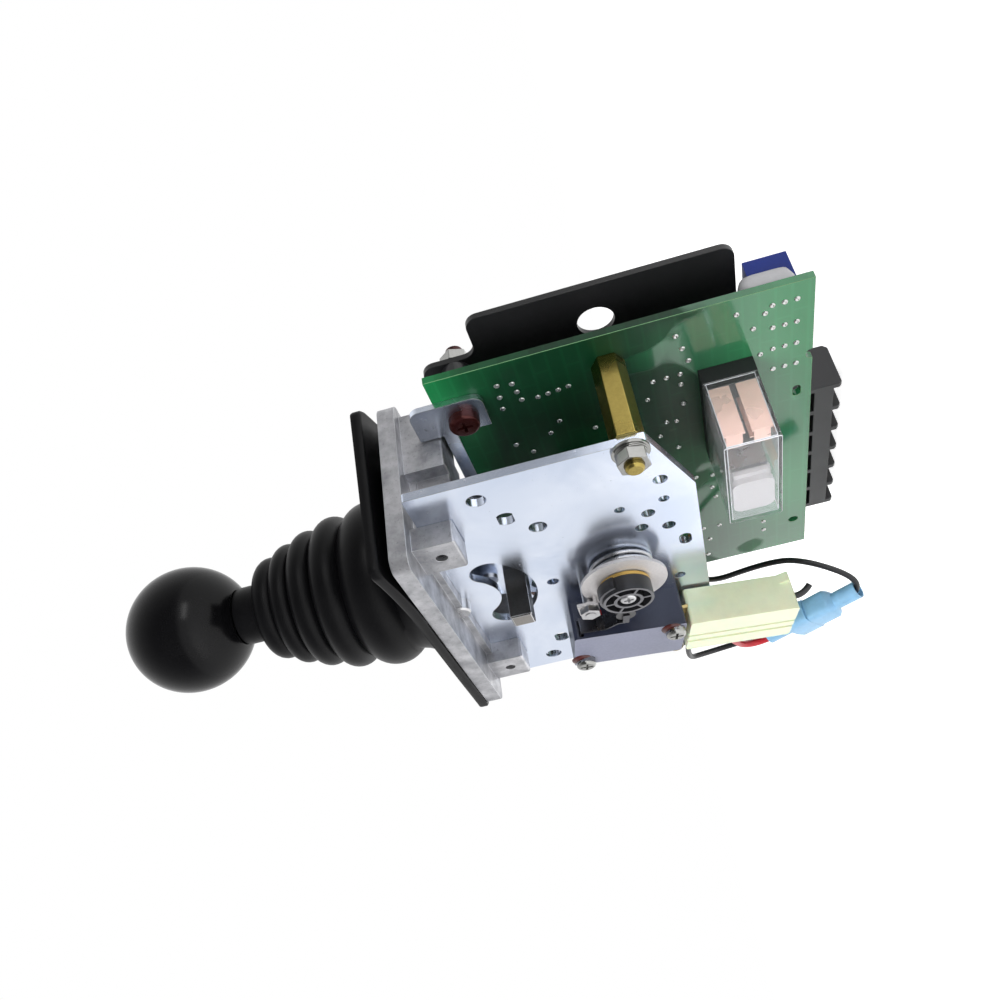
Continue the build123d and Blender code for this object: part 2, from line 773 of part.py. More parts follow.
# Moulded cam drum: a lobe at its root, six windows round a screwed hub at its face
with BuildPart() as cam_drum:
    with BuildSketch(near_face(ring_y, 0, shaft_z)):
        Circle(drum_radius)
    extrude(amount=drum_length)
    with BuildSketch(near_face(ring_y, 0, shaft_z)):
        with BuildLine():
            lobe = CenterArc((0, 0), drum_radius + lobe_height, 20, 140)
            Polyline(lobe @ 1, (0, 0), lobe @ 0)
        make_face()
    extrude(amount=lobe_length)
    with BuildSketch(near_face(drum_y, 0, shaft_z)):
        Circle(drum_radius - 0.7)
        Circle(drum_radius - 2.5, mode=Mode.SUBTRACT)
        with PolarLocations(0, 6, 30):
            Rectangle(2.2 * drum_radius, 0.6, align=(Align.MIN, Align.CENTER), mode=Mode.SUBTRACT)
    extrude(amount=-2.2, mode=Mode.SUBTRACT)
    with BuildSketch(near_face(drum_y, 0, shaft_z)):
        Circle(hub_recess_radius)
    extrude(amount=0.2 - drum_end_wall, mode=Mode.SUBTRACT)
    with BuildSketch(near_face(ring_y, 0, shaft_z)):
        Circle(shaft_radius)
    extrude(amount=drum_length - drum_end_wall, mode=Mode.SUBTRACT)
    with BuildSketch(near_face(ring_y, 0, shaft_z)):
        Circle(1.0)
    extrude(amount=drum_length, mode=Mode.SUBTRACT)
cam_drum.part.label = "cam_drum"
export_step(cam_drum.part, "parts/cam_drum.step")

with BuildPart() as drum_screw:
    with BuildSketch(near_face(drum_y + drum_end_wall - 0.2, 0, shaft_z)):
        Circle(drum_head_radius)
    extrude(amount=drum_end_wall - 0.3)
    fillet(edges().filter_by(GeomType.CIRCLE).sort_by(Axis.Y)[0], 0.6)
    with BuildSketch(near_face(drum_y + drum_end_wall - 0.2, 0, shaft_z)):
        Circle(1.0)
    extrude(amount=-6.4)
    with BuildSketch(near_face(drum_y, 0, shaft_z)):
        Rectangle(2.2, 0.5)
        Rectangle(0.5, 2.2)
    extrude(amount=-0.8, both=True, mode=Mode.SUBTRACT)
drum_screw.part.label = "drum_screw"
export_step(drum_screw.part, "parts/drum_screw.step")

# Position sensor on the board, turned by the shaft's far end
with BuildPart() as position_sensor:
    with BuildSketch(near_face(board_y, 0, shaft_z)):
        RectangleRounded(sensor_width, sensor_height, 2)
    extrude(amount=board_y - sensor_near_y)
    with BuildSketch(near_face(sensor_near_y, 0, shaft_z)):
        Circle(shaft_radius + running_gap)
    extrude(amount=-5.2, mode=Mode.SUBTRACT)
position_sensor.part.label = "position_sensor"
export_step(position_sensor.part, "parts/position_sensor.step")

# The cam axis in the switch's own plane gives the roller its place
away_x = -switch_x
away_z = shaft_z - switch_z
turn = radians(switch_turn)
roller_x = -away_x * sin(turn) - away_z * cos(turn)
roller_y = away_x * cos(turn) - away_z * sin(turn)
roller_y -= drum_radius + lobe_height + roller_radius + roller_gap
leaf_low = switch_height / 2 + plunger_height
leaf_root_x = -switch_length / 2 + 1.6
leaf_start = switch_thick / 2 + leaf_shift - leaf_width / 2
leaf_end_y = roller_y - roller_radius - 0.6
# Micro switch with plunger, leaf, roller, terminals and two screws
with BuildPart() as switch_case:
    with BuildSketch(switch_face(0)):
        Rectangle(switch_length, switch_height)
        fillet(vertices(), 0.8)
    extrude(amount=switch_thick)
    with BuildSketch(switch_face(0)):
        for side in (-1, 1):
            with Locations((side * switch_hole_pitch_x / 2, side * switch_hole_pitch_y / 2)):
                Circle(switch_hole_radius)
    extrude(amount=switch_thick, mode=Mode.SUBTRACT)
    # Well for the plunger
    with BuildSketch(switch_face(switch_thick / 2)):
        with Locations((plunger_x, switch_height / 2 - 1.5)):
            Rectangle(2.4 + 2 * running_gap, 3.0)
    extrude(amount=1.5 + running_gap, both=True, mode=Mode.SUBTRACT)
    # Slit in which the leaf's leg rocks
    with BuildSketch(switch_face(leaf_start - 0.3)):
        with Locations((leaf_root_x + leaf_thick / 2, switch_height / 2)):
            Rectangle(leaf_thick + 0.8, 3.6)
    extrude(amount=leaf_width + 0.6, mode=Mode.SUBTRACT)
    # Sockets that hold the brass tabs
    with BuildSketch(switch_face(switch_thick / 2 - tab_thick / 2)):
        with Locations(*[(switch_length / 2 - tab_root / 2, height) for height in tab_heights]):
            Rectangle(tab_root, tab_width)
    extrude(amount=tab_thick, mode=Mode.SUBTRACT)
switch_case.part.label = "switch_case"
export_step(switch_case.part, "parts/switch_case.step")

with BuildPart() as switch_plunger:
    with BuildSketch(switch_face(switch_thick / 2)):
        with Locations((plunger_x, switch_height / 2 - 2.0)):
            Rectangle(2.4, plunger_height + 2.0 - plunger_gap, align=(Align.CENTER, Align.MIN))
    extrude(amount=1.5, both=True)
switch_plunger.part.label = "switch_plunger"
export_step(switch_plunger.part, "parts/switch_plunger.step")

with BuildPart() as switch_leaf:
    with BuildSketch(switch_face(leaf_start)):
        with BuildLine():
            Polyline(
                (leaf_root_x, leaf_low - leaf_leg),
                (leaf_root_x, leaf_low + leaf_thick),
                (-6.2, leaf_low + leaf_thick),
                (roller_x - 2.0, leaf_end_y + leaf_thick),
                (roller_x + 0.8, leaf_end_y + leaf_thick),
                (roller_x + 0.8, leaf_end_y),
                (roller_x - 1.8, leaf_end_y),
                (-6.0, leaf_low),
                (leaf_root_x + leaf_thick, leaf_low),
                (leaf_root_x + leaf_thick, leaf_low - leaf_leg),
                close=True,
            )
        make_face()
    extrude(amount=leaf_width)
    # Two cheeks and an axle carry the roller
    for cheek in (0, leaf_width - cheek_thick):
        with BuildSketch(switch_face(leaf_start + cheek)):
            with Locations((roller_x, (leaf_end_y + roller_y + 0.8) / 2)):
                Rectangle(1.6, roller_y + 0.8 - leaf_end_y)
        extrude(amount=cheek_thick)
    with BuildSketch(switch_face(leaf_start)):
        with Locations((roller_x, roller_y)):
            Circle(axle_radius)
    extrude(amount=leaf_width)
switch_leaf.part.label = "switch_leaf"
export_step(switch_leaf.part, "parts/switch_leaf.step")

with BuildPart() as switch_roller:
    with BuildSketch(switch_face(leaf_start + (leaf_width - roller_width) / 2)):
        with Locations((roller_x, roller_y)):
            Circle(roller_radius)
            Circle(axle_radius + running_gap, mode=Mode.SUBTRACT)
    extrude(amount=roller_width)
switch_roller.part.label = "switch_roller"
export_step(switch_roller.part, "parts/switch_roller.step")

with BuildPart() as switch_screws:
    for side in (-1, 1):
        spot = (side * switch_hole_pitch_x / 2, side * switch_hole_pitch_y / 2)
        with BuildSketch(switch_face(switch_thick)):
            with Locations(spot):
                Circle(screw_head_radius)
        extrude(amount=screw_head_height)
        with BuildSketch(switch_face(-plate_thick - 1.5)):
            with Locations(spot):
                Circle(switch_hole_radius - 0.1)
        extrude(amount=switch_thick + plate_thick + 1.5)
        with BuildSketch(switch_face(-plate_thick)):
            with Locations(spot):
                RegularPolygon(2.75, 6, major_radius=False)
        extrude(amount=-2.0)
    fillet(edges().filter_by(GeomType.CIRCLE).group_by(Axis.Y)[0], 0.8)
    for side in (-1, 1):
        with BuildSketch(switch_face(switch_thick + screw_head_height)):
            with Locations((side * switch_hole_pitch_x / 2, side * switch_hole_pitch_y / 2)):
                Rectangle(3.2, 0.6)
                Rectangle(0.6, 3.2)
        extrude(amount=-0.9, mode=Mode.SUBTRACT)
switch_screws.part.label = "switch_screws"
export_step(switch_screws.part, "parts/switch_screws.step")

# Brass tabs at the switch's rear end, and the ivory housing pushed onto them
housing_start = switch_length / 2 + 1.2
with BuildPart() as switch_tabs:
    with BuildSketch(switch_face(switch_thick / 2 - tab_thick / 2)):
        tab_middle = (switch_length / 2 - tab_root + housing_start + tab_reach) / 2
        with Locations(*[(tab_middle, height) for height in tab_heights]):
            Rectangle(housing_start + tab_reach - switch_length / 2 + tab_root, tab_width)
    extrude(amount=tab_thick)
switch_tabs.part.label = "switch_tabs"
export_step(switch_tabs.part, "parts/switch_tabs.step")

with BuildPart() as tab_housing:
    with BuildSketch(switch_face(housing_low)):
        with Locations((housing_start + housing_length / 2, housing_shift)):
            Rectangle(housing_length, housing_height)
    extrude(amount=housing_thick)
    fillet(edges().filter_by(Axis.Y), 0.8)
    # Stepped lower rails and the latch beak at the far end
    with BuildSketch(switch_face(housing_low + housing_thick)):
        with Locations((housing_start + housing_length / 2, housing_shift - 2.6)):
            Rectangle(housing_length, 1.0)
        with Locations((housing_start + housing_length / 2, housing_shift + 0.4)):
            Rectangle(housing_length, 0.8)
    extrude(amount=-0.7, mode=Mode.SUBTRACT)
    with BuildSketch(switch_face(housing_low)):
        with BuildLine():
            beak_x = housing_start + housing_length
            beak_y = housing_shift + housing_height / 2
            Polyline(
                (beak_x - 3.4, beak_y),
                (beak_x - 0.8, beak_y + 1.5),
                (beak_x, beak_y - 2.0),
                (beak_x - 3.4, beak_y - 2.0),
                close=True,
            )
        make_face()
    extrude(amount=2.4)
    # Sockets for the tabs, open towards the switch
    with BuildSketch(switch_face(switch_thick / 2 - tab_thick / 2 - 0.1)):
        with Locations(*[(housing_start + tab_reach / 2, height) for height in tab_heights]):
            Rectangle(tab_reach, tab_width + 0.2)
    extrude(amount=tab_thick + 0.2, mode=Mode.SUBTRACT)
tab_housing.part.label = "tab_housing"
export_step(tab_housing.part, "parts/tab_housing.step")

# Printed board, standoffs and their fixings
with BuildPart() as circuit_board:
    with BuildSketch(near_face(board_far_y)):
        with Locations((0, (board_start_z + board_end_z) / 2)):
            Rectangle(2 * board_half, board_start_z - board_end_z)
        with Locations((standoff_x, standoff_z), (-standoff_x, standoff_z)):
            Circle(screw_radius, mode=Mode.SUBTRACT)
        with Locations((strap_screw_x, strap_screw_z), (-strap_screw_x, strap_screw_z)):
            Circle(screw_radius, mode=Mode.SUBTRACT)
        with Locations((18.3, -92.2)):
            SlotOverall(3.6, 1.8, mode=Mode.SUBTRACT)
        with Locations((-40.1, -92.1)):
            Circle(1.3, mode=Mode.SUBTRACT)
        with Locations((30.2, board_end_z)):
            Circle(1.5, mode=Mode.SUBTRACT)
    extrude(amount=board_thick)
circuit_board.part.label = "circuit_board"
export_step(circuit_board.part, "parts/circuit_board.step")

standoff_spots = [(standoff_x, standoff_z), (-standoff_x, standoff_z)]
strap_screw_spots = [(strap_screw_x, strap_screw_z), (-strap_screw_x, strap_screw_z)]
stud_end_y = plate_outer_y - washer_thick - nut_height - 1.2
with BuildPart() as board_standoffs:
    with BuildSketch(near_face(board_y)):
        with Locations(*standoff_spots):
            RegularPolygon(standoff_flats / 2, 6, rotation=30, major_radius=False)
    extrude(amount=board_y - plate_inner_y)
    with BuildSketch(near_face(board_y)):
        with Locations(*standoff_spots):
            Circle(screw_radius)
    extrude(amount=board_y - stud_end_y)
    with BuildSketch(near_face(board_y)):
        with Locations(*standoff_spots):
            Circle(screw_radius)
    extrude(amount=8.0, mode=Mode.SUBTRACT)
    chamfer(edges().filter_by(GeomType.CIRCLE).group_by(Axis.Y)[0], 0.4)
board_standoffs.part.label = "board_standoffs"
export_step(board_standoffs.part, "parts/board_standoffs.step")

with BuildPart() as standoff_washers:
    with BuildSketch(near_face(plate_outer_y)):
        with Locations(*standoff_spots):
            Circle(washer_radius)
            Circle(screw_radius, mode=Mode.SUBTRACT)
    extrude(amount=0.7)
    with BuildSketch(near_face(plate_outer_y - 0.7)):
        with Locations(*standoff_spots):
            Circle(washer_radius - 0.7)
            Circle(screw_radius, mode=Mode.SUBTRACT)
    extrude(amount=washer_thick - 0.7)
standoff_washers.part.label = "standoff_washers"
export_step(standoff_washers.part, "parts/standoff_washers.step")

# The same hex nut holds the standoffs and the guard plate
with BuildPart() as hex_nuts:
    for nut_y, spots in (
        (plate_outer_y - washer_thick, standoff_spots),
        (guard_y + guard_thick + nut_height, strap_screw_spots),
    ):
        with BuildSketch(near_face(nut_y)):
            with Locations(*spots):
                RegularPolygon(nut_flats / 2, 6, rotation=10, major_radius=False)
                Circle(screw_radius, mode=Mode.SUBTRACT)
        extrude(amount=nut_height)
hex_nuts.part.label = "hex_nuts"
export_step(hex_nuts.part, "parts/hex_nuts.step")

with BuildPart() as board_screws:
    with BuildSketch(near_face(board_far_y)):
        with Locations(*standoff_spots):
            Circle(screw_radius)
    extrude(amount=board_thick + 6.0)
    with BuildSketch(near_face(board_far_y)):
        with Locations(*standoff_spots):
            Circle(screw_radius + 1.7)
    extrude(amount=-2.4)
    fillet(edges().filter_by(GeomType.CIRCLE).group_by(Axis.Y)[-1], 1.0)
    with BuildSketch(near_face(board_far_y + 2.4)):
        with Locations(*standoff_spots):
            Rectangle(3.8, 0.8)
            Rectangle(0.8, 3.8)
    extrude(amount=1.0, mode=Mode.SUBTRACT)
board_screws.part.label = "board_screws"
export_step(board_screws.part, "parts/board_screws.step")

# Rear strap: a tongue on the casting's far web and two ears on the board
with BuildPart() as rear_strap:
    with BuildSketch(near_face(strap_far_y)):
        with BuildLine():
            Polyline(
                (strap_half, strap_ear_z),
                (strap_half, strap_end_z),
                (strap_inner, strap_end_z),
                (strap_inner, strap_low_z),
                (-strap_inner, strap_low_z),
                (-strap_inner, strap_end_z),
                (-strap_half, strap_end_z),
                (-strap_half, strap_ear_z),
                (-strap_inner, strap_ear_z),
                (-strap_inner, strap_top_z),
                (-strap_tongue_half, strap_top_z),
                (-strap_tongue_half, pad_z),
                (strap_tongue_half, pad_z),
                (strap_tongue_half, strap_top_z),
                (strap_inner, strap_top_z),
                (strap_inner, strap_ear_z),
                close=True,
            )
        make_face()
        fillet(vertices().group_by(Axis.X)[0], 2.5)
        fillet(vertices().group_by(Axis.X)[-1], 2.5)
        with Locations((0, pivot_z)):
            Circle(pivot_radius, mode=Mode.SUBTRACT)
        with Locations(*strap_screw_spots):
            Circle(screw_radius, mode=Mode.SUBTRACT)
        for side in (-1, 1):
            with Locations((side * 0.6 * strap_tongue_half, cross_hole_z)):
                Circle(cross_hole_radius, mode=Mode.SUBTRACT)
    extrude(amount=strap_thick)
rear_strap.part.label = "rear_strap"
export_step(rear_strap.part, "parts/rear_strap.step")

with BuildPart() as web_screws:
    with BuildSketch(near_face(strap_far_y)):
        for side in (-1, 1):
            with Locations((side * 0.6 * strap_tongue_half, cross_hole_z)):
                Circle(cross_hole_radius)
    extrude(amount=strap_far_y - opening_far - 0.2)
    with BuildSketch(near_face(strap_far_y)):
        for side in (-1, 1):
            with Locations((side * 0.6 * strap_tongue_half, cross_hole_z)):
                Circle(cross_hole_radius + 1.3)
    extrude(amount=-1.6)
web_screws.part.label = "web_screws"
export_step(web_screws.part, "parts/web_screws.step")

# Long screws carry the guard plate behind the board
with BuildPart() as strap_screws:
    with BuildSketch(near_face(guard_y + guard_thick + 4.6)):
        with Locations(*strap_screw_spots):
            Circle(screw_radius)
    extrude(amount=guard_y + guard_thick + 4.6 - strap_y)
    with BuildSketch(near_face(strap_y)):
        with Locations(*strap_screw_spots):
            Circle(screw_radius + 1.4)
    extrude(amount=2.2)
    fillet(edges().filter_by(GeomType.CIRCLE).group_by(Axis.Y)[0], 0.8)
    with BuildSketch(near_face(strap_y - 2.2)):
        with Locations(*strap_screw_spots):
            Rectangle(3.4, 0.7)
            Rectangle(0.7, 3.4)
    extrude(amount=-1.0, mode=Mode.SUBTRACT)
strap_screws.part.label = "strap_screws"
export_step(strap_screws.part, "parts/strap_screws.step")

with BuildPart() as guard_spacers:
    with BuildSketch(near_face(guard_y)):
        with Locations(*strap_screw_spots):
            Circle(screw_radius + 1.4)
            Circle(screw_radius + 0.1, mode=Mode.SUBTRACT)
    extrude(amount=guard_y - board_far_y)
guard_spacers.part.label = "guard_spacers"
export_step(guard_spacers.part, "parts/guard_spacers.step")

with BuildPart() as guard_plate:
    with BuildSketch(near_face(guard_y + guard_thick)):
        with BuildLine():
            Polyline(
                (guard_half, -25.2),
                (guard_half, -82.8),
                (-guard_half, -82.8),
                (-guard_half, -25.2),
                (-guard_step_half, -25.2),
                (-guard_step_half, -12.2),
                (guard_step_half, -12.2),
                (guard_step_half, -25.2),
                close=True,
            )
        make_face()
        fillet(vertices(), 3.0)
        with Locations(*standoff_spots):
            Circle(4.1, mode=Mode.SUBTRACT)
        with Locations(*strap_screw_spots):
            Circle(screw_radius, mode=Mode.SUBTRACT)
    extrude(amount=guard_thick)
guard_plate.part.label = "guard_plate"
export_step(guard_plate.part, "parts/guard_plate.step")

# Plug-in relay: black base, clear cover, bobbin, coil, yoke, armature and blades
relay_mid_z = relay_start_z - relay_width / 2
relay_mid_x = relay_low_x + relay_length / 2
relay_near_y = board_y - relay_height
relay_base_y = board_y - relay_base_height
with BuildPart() as relay_base:
    with BuildSketch(near_face(board_y)):
        with Locations((relay_mid_x, relay_mid_z)):
            Rectangle(relay_length - 2 * relay_wall, relay_width - 2 * relay_wall)
    extrude(amount=relay_base_height + 1.5)
    with BuildSketch(near_face(board_y)):
        with Locations((relay_mid_x, relay_mid_z)):
            Rectangle(relay_length, relay_width)
    extrude(amount=relay_base_height)
relay_base.part.label = "relay_base"
export_step(relay_base.part, "parts/relay_base.step")

with BuildPart() as relay_cover:
    with BuildSketch(near_face(relay_base_y)):
        with Locations((relay_mid_x, relay_mid_z)):
            Rectangle(relay_length, relay_width)
    extrude(amount=relay_base_y - relay_near_y)
    fillet(edges().filter_by(Axis.Y), 0.6)
    with BuildSketch(near_face(relay_base_y)):
        with Locations((relay_mid_x, relay_mid_z)):
            Rectangle(relay_length - 2 * relay_wall, relay_width - 2 * relay_wall)
    extrude(amount=relay_base_y - relay_near_y - relay_wall, mode=Mode.SUBTRACT)
relay_cover.part.label = "relay_cover"
export_step(relay_cover.part, "parts/relay_cover.step")

coil_x = relay_low_x + 8.5
coil_top_y = relay_near_y + 5.0
inner_base_y = relay_base_y - 1.5
with BuildPart() as relay_bobbin:
    with BuildSketch(near_face(inner_base_y - 1.0, coil_x, relay_mid_z)):
        Circle(2.6)
        Circle(1.5, mode=Mode.SUBTRACT)
    extrude(amount=inner_base_y - 1.0 - coil_top_y)
    for flange_y in (inner_base_y - 1.0, coil_top_y + 1.0):
        with BuildSketch(near_face(flange_y, coil_x, relay_mid_z)):
            RectangleRounded(10.6, 9.6, 2.0)
            Circle(1.5, mode=Mode.SUBTRACT)
        extrude(amount=1.0)
relay_bobbin.part.label = "relay_bobbin"
export_step(relay_bobbin.part, "parts/relay_bobbin.step")

with BuildPart() as relay_coil:
    with BuildSketch(near_face(inner_base_y - 2.0, coil_x, relay_mid_z)):
        Circle(4.6)
        Circle(2.6, mode=Mode.SUBTRACT)
    extrude(amount=inner_base_y - coil_top_y - 3.0)
relay_coil.part.label = "relay_coil"
export_step(relay_coil.part, "parts/relay_coil.step")

with BuildPart() as relay_yoke:
    with BuildSketch(near_face(inner_base_y, coil_x, relay_mid_z)):
        Circle(1.5)
    extrude(amount=inner_base_y - coil_top_y + 0.4)
    with BuildSketch(near_face(inner_base_y, coil_x + 6.4, relay_mid_z)):
        Rectangle(1.2, 8.0)
    extrude(amount=inner_base_y - coil_top_y + 0.2)
    with BuildSketch(near_face(inner_base_y, coil_x + 2.75, relay_mid_z)):
        Rectangle(8.5, 8.0)
    extrude(amount=1.0)
relay_yoke.part.label = "relay_yoke"
export_step(relay_yoke.part, "parts/relay_yoke.step")

# The armature rocks on the yoke's end and carries the white pusher card
armature_y = coil_top_y - 1.2
with BuildPart() as relay_armature:
    with BuildSketch(near_face(armature_y)):
        with Locations((coil_x + 0.6, relay_mid_z)):
            Rectangle(13.0, 7.6)
    extrude(amount=1.0)
    with BuildSketch(near_face(armature_y - 1.0)):
        with Locations((coil_x - 0.2, relay_mid_z)):
            RectangleRounded(11.6, 9.2, 2.2)
    extrude(amount=1.4)
relay_armature.part.label = "relay_armature"
export_step(relay_armature.part, "parts/relay_armature.step")

with BuildPart() as relay_blades:
    for z_shift in (-2.9, 2.9):
        for x_place, low_y in ((29.5, relay_near_y + 3.4), (24.5, relay_near_y + 5.4)):
            with BuildSketch(near_face(inner_base_y, relay_low_x + x_place, relay_mid_z + z_shift)):
                Rectangle(0.5, 4.4)
            extrude(amount=inner_base_y - low_y)
        with BuildSketch(near_face(relay_near_y + 4.2, relay_low_x + 27.4, relay_mid_z + z_shift)):
            Rectangle(4.7, 3.4)
        extrude(amount=0.5)
relay_blades.part.label = "relay_blades"
export_step(relay_blades.part, "parts/relay_blades.step")

# Four multi-turn trimmers in a row behind the board
trimmer_spots = [(trimmer_first_x + i * trimmer_pitch, trimmer_z) for i in range(trimmer_count)]
trimmer_end_y = board_far_y + trimmer_height
with BuildPart() as trimmer_bodies:
    with BuildSketch(near_face(trimmer_end_y)):
        with Locations(*trimmer_spots):
            Rectangle(trimmer_width, trimmer_length)
    extrude(amount=trimmer_height)
    with BuildSketch(near_face(trimmer_end_y)):
        with Locations(*[(x, z + trimmer_screw_shift) for x, z in trimmer_spots]):
            Circle(1.2 + running_gap)
    extrude(amount=1.5, mode=Mode.SUBTRACT)
trimmer_bodies.part.label = "trimmer_bodies"
export_step(trimmer_bodies.part, "parts/trimmer_bodies.step")

for number, (x, z) in enumerate(trimmer_spots, start=1):
    with BuildPart() as trimmer_screw:
        with BuildSketch(near_face(trimmer_end_y + 0.6, x, z + trimmer_screw_shift)):
            Circle(1.2)
        extrude(amount=2.1 - running_gap)
        with BuildSketch(near_face(trimmer_end_y + 0.6, x, z + trimmer_screw_shift)):
            Rectangle(2.6, 0.5)
        extrude(amount=0.5, mode=Mode.SUBTRACT)
    trimmer_screw.part.label = f"trimmer_screw_{number}"
    export_step(trimmer_screw.part, f"parts/{trimmer_screw.part.label}.step")

# Six-way barrier terminal block, its fins standing past the board's end
block_length_x = block_poles * block_pitch
block_mid_x = block_low_x + block_length_x / 2
fin_places = [block_low_x + i * block_pitch for i in range(block_poles + 1)]
pole_places = [block_low_x + (i + 0.5) * block_pitch for i in range(block_poles)]
with BuildPart() as terminal_block:
    with BuildSketch(near_face(board_far_y)):
        with Locations((block_mid_x, (block_back_z + block_front_z) / 2)):
            Rectangle(block_length_x + block_wall, block_back_z - block_front_z)
    extrude(amount=-block_floor)
    for x in fin_places:
        with BuildSketch(Plane(origin=(x + block_wall / 2, 0, 0), x_dir=(0, 1, 0), z_dir=(1, 0, 0))):
            with BuildLine():
                Polyline(
                    (board_far_y, block_back_z),
                    (board_far_y, block_tip_z + 0.6),
                    (board_far_y + 0.6, block_tip_z),
                    (board_far_y + block_height - 1.0, block_tip_z),
                    (board_far_y + block_height, block_tip_z + 1.0),
                    (board_far_y + block_height, block_back_z),
                    close=True,
                )
            make_face()
        extrude(amount=-block_wall)
    with BuildSketch(near_face(board_far_y)):
        with Locations((block_mid_x, (block_front_z + block_tip_z) / 2 + 0.6)):
            Rectangle(block_length_x + block_wall, block_front_z - block_tip_z - 2.6)
    extrude(amount=-2.2)
terminal_block.part.label = "terminal_block"
export_step(terminal_block.part, "parts/terminal_block.step")

with BuildPart() as terminal_screws:
    for x in pole_places:
        with BuildSketch(near_face(board_far_y + block_floor, x, (block_back_z + block_front_z) / 2)):
            Rectangle(5.8, 7.4)
        extrude(amount=-0.8)
        with BuildSketch(near_face(board_far_y + block_floor + 0.8, x, (block_back_z + block_front_z) / 2)):
            Circle(2.6)
        extrude(amount=-1.8)
        with BuildSketch(near_face(board_far_y + block_floor + 2.6, x, (block_back_z + block_front_z) / 2)):
            Rectangle(5.4, 0.7)
        extrude(amount=0.9, mode=Mode.SUBTRACT)
terminal_screws.part.label = "terminal_screws"
export_step(terminal_screws.part, "parts/terminal_screws.step")

# Blue splice: two halves pushed together, each with a wire barrel
splice_run_x = splice_high[0] - splice_low[0]
splice_run_z = splice_high[1] - splice_low[1]
splice_length = sqrt(splice_run_x**2 + splice_run_z**2)
splice_way = Vector(splice_run_x, 0, splice_run_z).normalized()
splice_start = Vector(splice_low[0], splice_y, splice_low[1])
splice_end = Vector(splice_high[0], splice_y, splice_high[1])


def splice_half(start, way, width):
    """Open barrel and flat body of one insulated half, from its wire end to the joint."""
    with BuildPart() as half_part:
        with BuildSketch(Plane(origin=start, x_dir=(0, 1, 0), z_dir=way)):
            Circle(barrel_radius)
        extrude(amount=barrel_length)
        with BuildSketch(Plane(origin=start + way * (barrel_length - 1), x_dir=(0, 1, 0), z_dir=way)):
            RectangleRounded(splice_body_thick, width, 1.2)
        extrude(amount=splice_length / 2 - barrel_length + 1)
        with BuildSketch(Plane(origin=start, x_dir=(0, 1, 0), z_dir=way)):
            Circle(barrel_bore)
        extrude(amount=bore_depth, mode=Mode.SUBTRACT)
    return half_part.part


splice_socket = splice_half(splice_start, splice_way, splice_body_width)
splice_socket.label = "splice_socket"
export_step(splice_socket, "parts/splice_socket.step")
splice_plug = splice_half(splice_end, -splice_way, splice_body_width - 1.6)
splice_plug.label = "splice_plug"
export_step(splice_plug, "parts/splice_plug.step")


def lead(points, radius):
    """A round lead along straight runs joined by arcs as large as the runs allow."""
    ways = [points[i + 1] - points[i] for i in range(len(points) - 1)]
    # An end run gives its one bend nearly all of its length, a middle run shares with two
    shares = [0.9] + [0.45] * (len(ways) - 2) + [0.9]
    free = [way.length * share for way, share in zip(ways, shares)]
    radii = []
    for index in range(len(ways) - 1):
        turned = radians(ways[index].get_angle(ways[index + 1]))
        radii.append(min(free[index], free[index + 1]) / tan(turned / 2))
    with BuildPart() as tube:
        with BuildLine() as route:
            FilletPolyline(*points, radius=radii)
        with BuildSketch(Plane(origin=points[0], z_dir=ways[0])):
            Circle(radius)
        sweep()
    swept = pi * radius**2 * route.wires()[0].length
    print("radii", [round(r, 1) for r in radii], "length", round(route.wires()[0].length, 1))
    print("volume against section times length", round(tube.part.volume / swept, 4))
    return tube.part


# The board lead leaves the board behind the side plate and turns back into the plug
lead_side = Vector(0.740, 0.410, 0.532)
mouth_start = splice_end - splice_way * 1.2 - lead_side * 1.15
board_lead_points = [
    Vector(-49.0, board_y, -61.0),
    Vector(-49.0, 2.6, -61.0),
    Vector(-30.5, -3.6, -82.0),
    Vector(-26.6, -8.2, -89.8),
    mouth_start + splice_way * 3.4 + lead_side * 4.8,
    mouth_start,
    mouth_start - splice_way * (bore_depth - 1.2),
]
board_lead = lead(board_lead_points, lead_radius)
board_lead.label = "board_lead"
export_step(board_lead, "parts/board_lead.step")

# The switch lead and a red one share the splice's lower barrel
housing_face_y = housing_shift - housing_height / 2


def housing_point(along, height):
    """A point on the ivory housing's lower side, in the part's own frame."""
    spot = switch_face(height).from_local_coords(Vector(housing_start + along, housing_face_y, 0))
    return Vector(spot)


switch_lead_exit = housing_point(2.4, 5.5)
lead_away = Vector(-cos(radians(switch_turn)), 0, sin(radians(switch_turn)))
switch_lead_mouth = splice_start + Vector(0, 0.95, 0)
switch_lead_points = [
    switch_lead_exit,
    switch_lead_exit + lead_away * 17.5,
    Vector(-56.2, splice_y + 0.95, -60.0),
    switch_lead_mouth - splice_way * 2.5,
    switch_lead_mouth + splice_way * bore_depth,
]
switch_lead = lead(switch_lead_points, lead_radius)
switch_lead.label = "switch_lead"
export_step(switch_lead, "parts/switch_lead.step")

red_lead_exit = housing_point(12.0, 6.5)
red_lead_mouth = splice_start - Vector(0, 0.85, 0)
red_lead_points = [
    red_lead_exit,
    red_lead_exit + lead_away * 4.0,
    red_lead_mouth - splice_way * 7.0,
    red_lead_mouth + splice_way * bore_depth,
]
red_lead = lead(red_lead_points, red_lead_radius)
red_lead.label = "red_lead"
export_step(red_lead, "parts/red_lead.step")

# A spare black lead, cut short, stands out of the housing's far end
spare_spot = Vector(
    switch_face(6.2).from_local_coords(Vector(housing_start + housing_length, 5.4, 0))
)
housing_way = Vector(-sin(radians(switch_turn)), 0, -cos(radians(switch_turn)))
spare_bend = spare_spot + housing_way * 2.4
spare_lead = lead([spare_spot, spare_bend, spare_bend + Vector(0.9, 1.9, -2.0)], spare_lead_radius)
spare_lead.label = "spare_lead"
export_step(spare_lead, "parts/spare_lead.step")
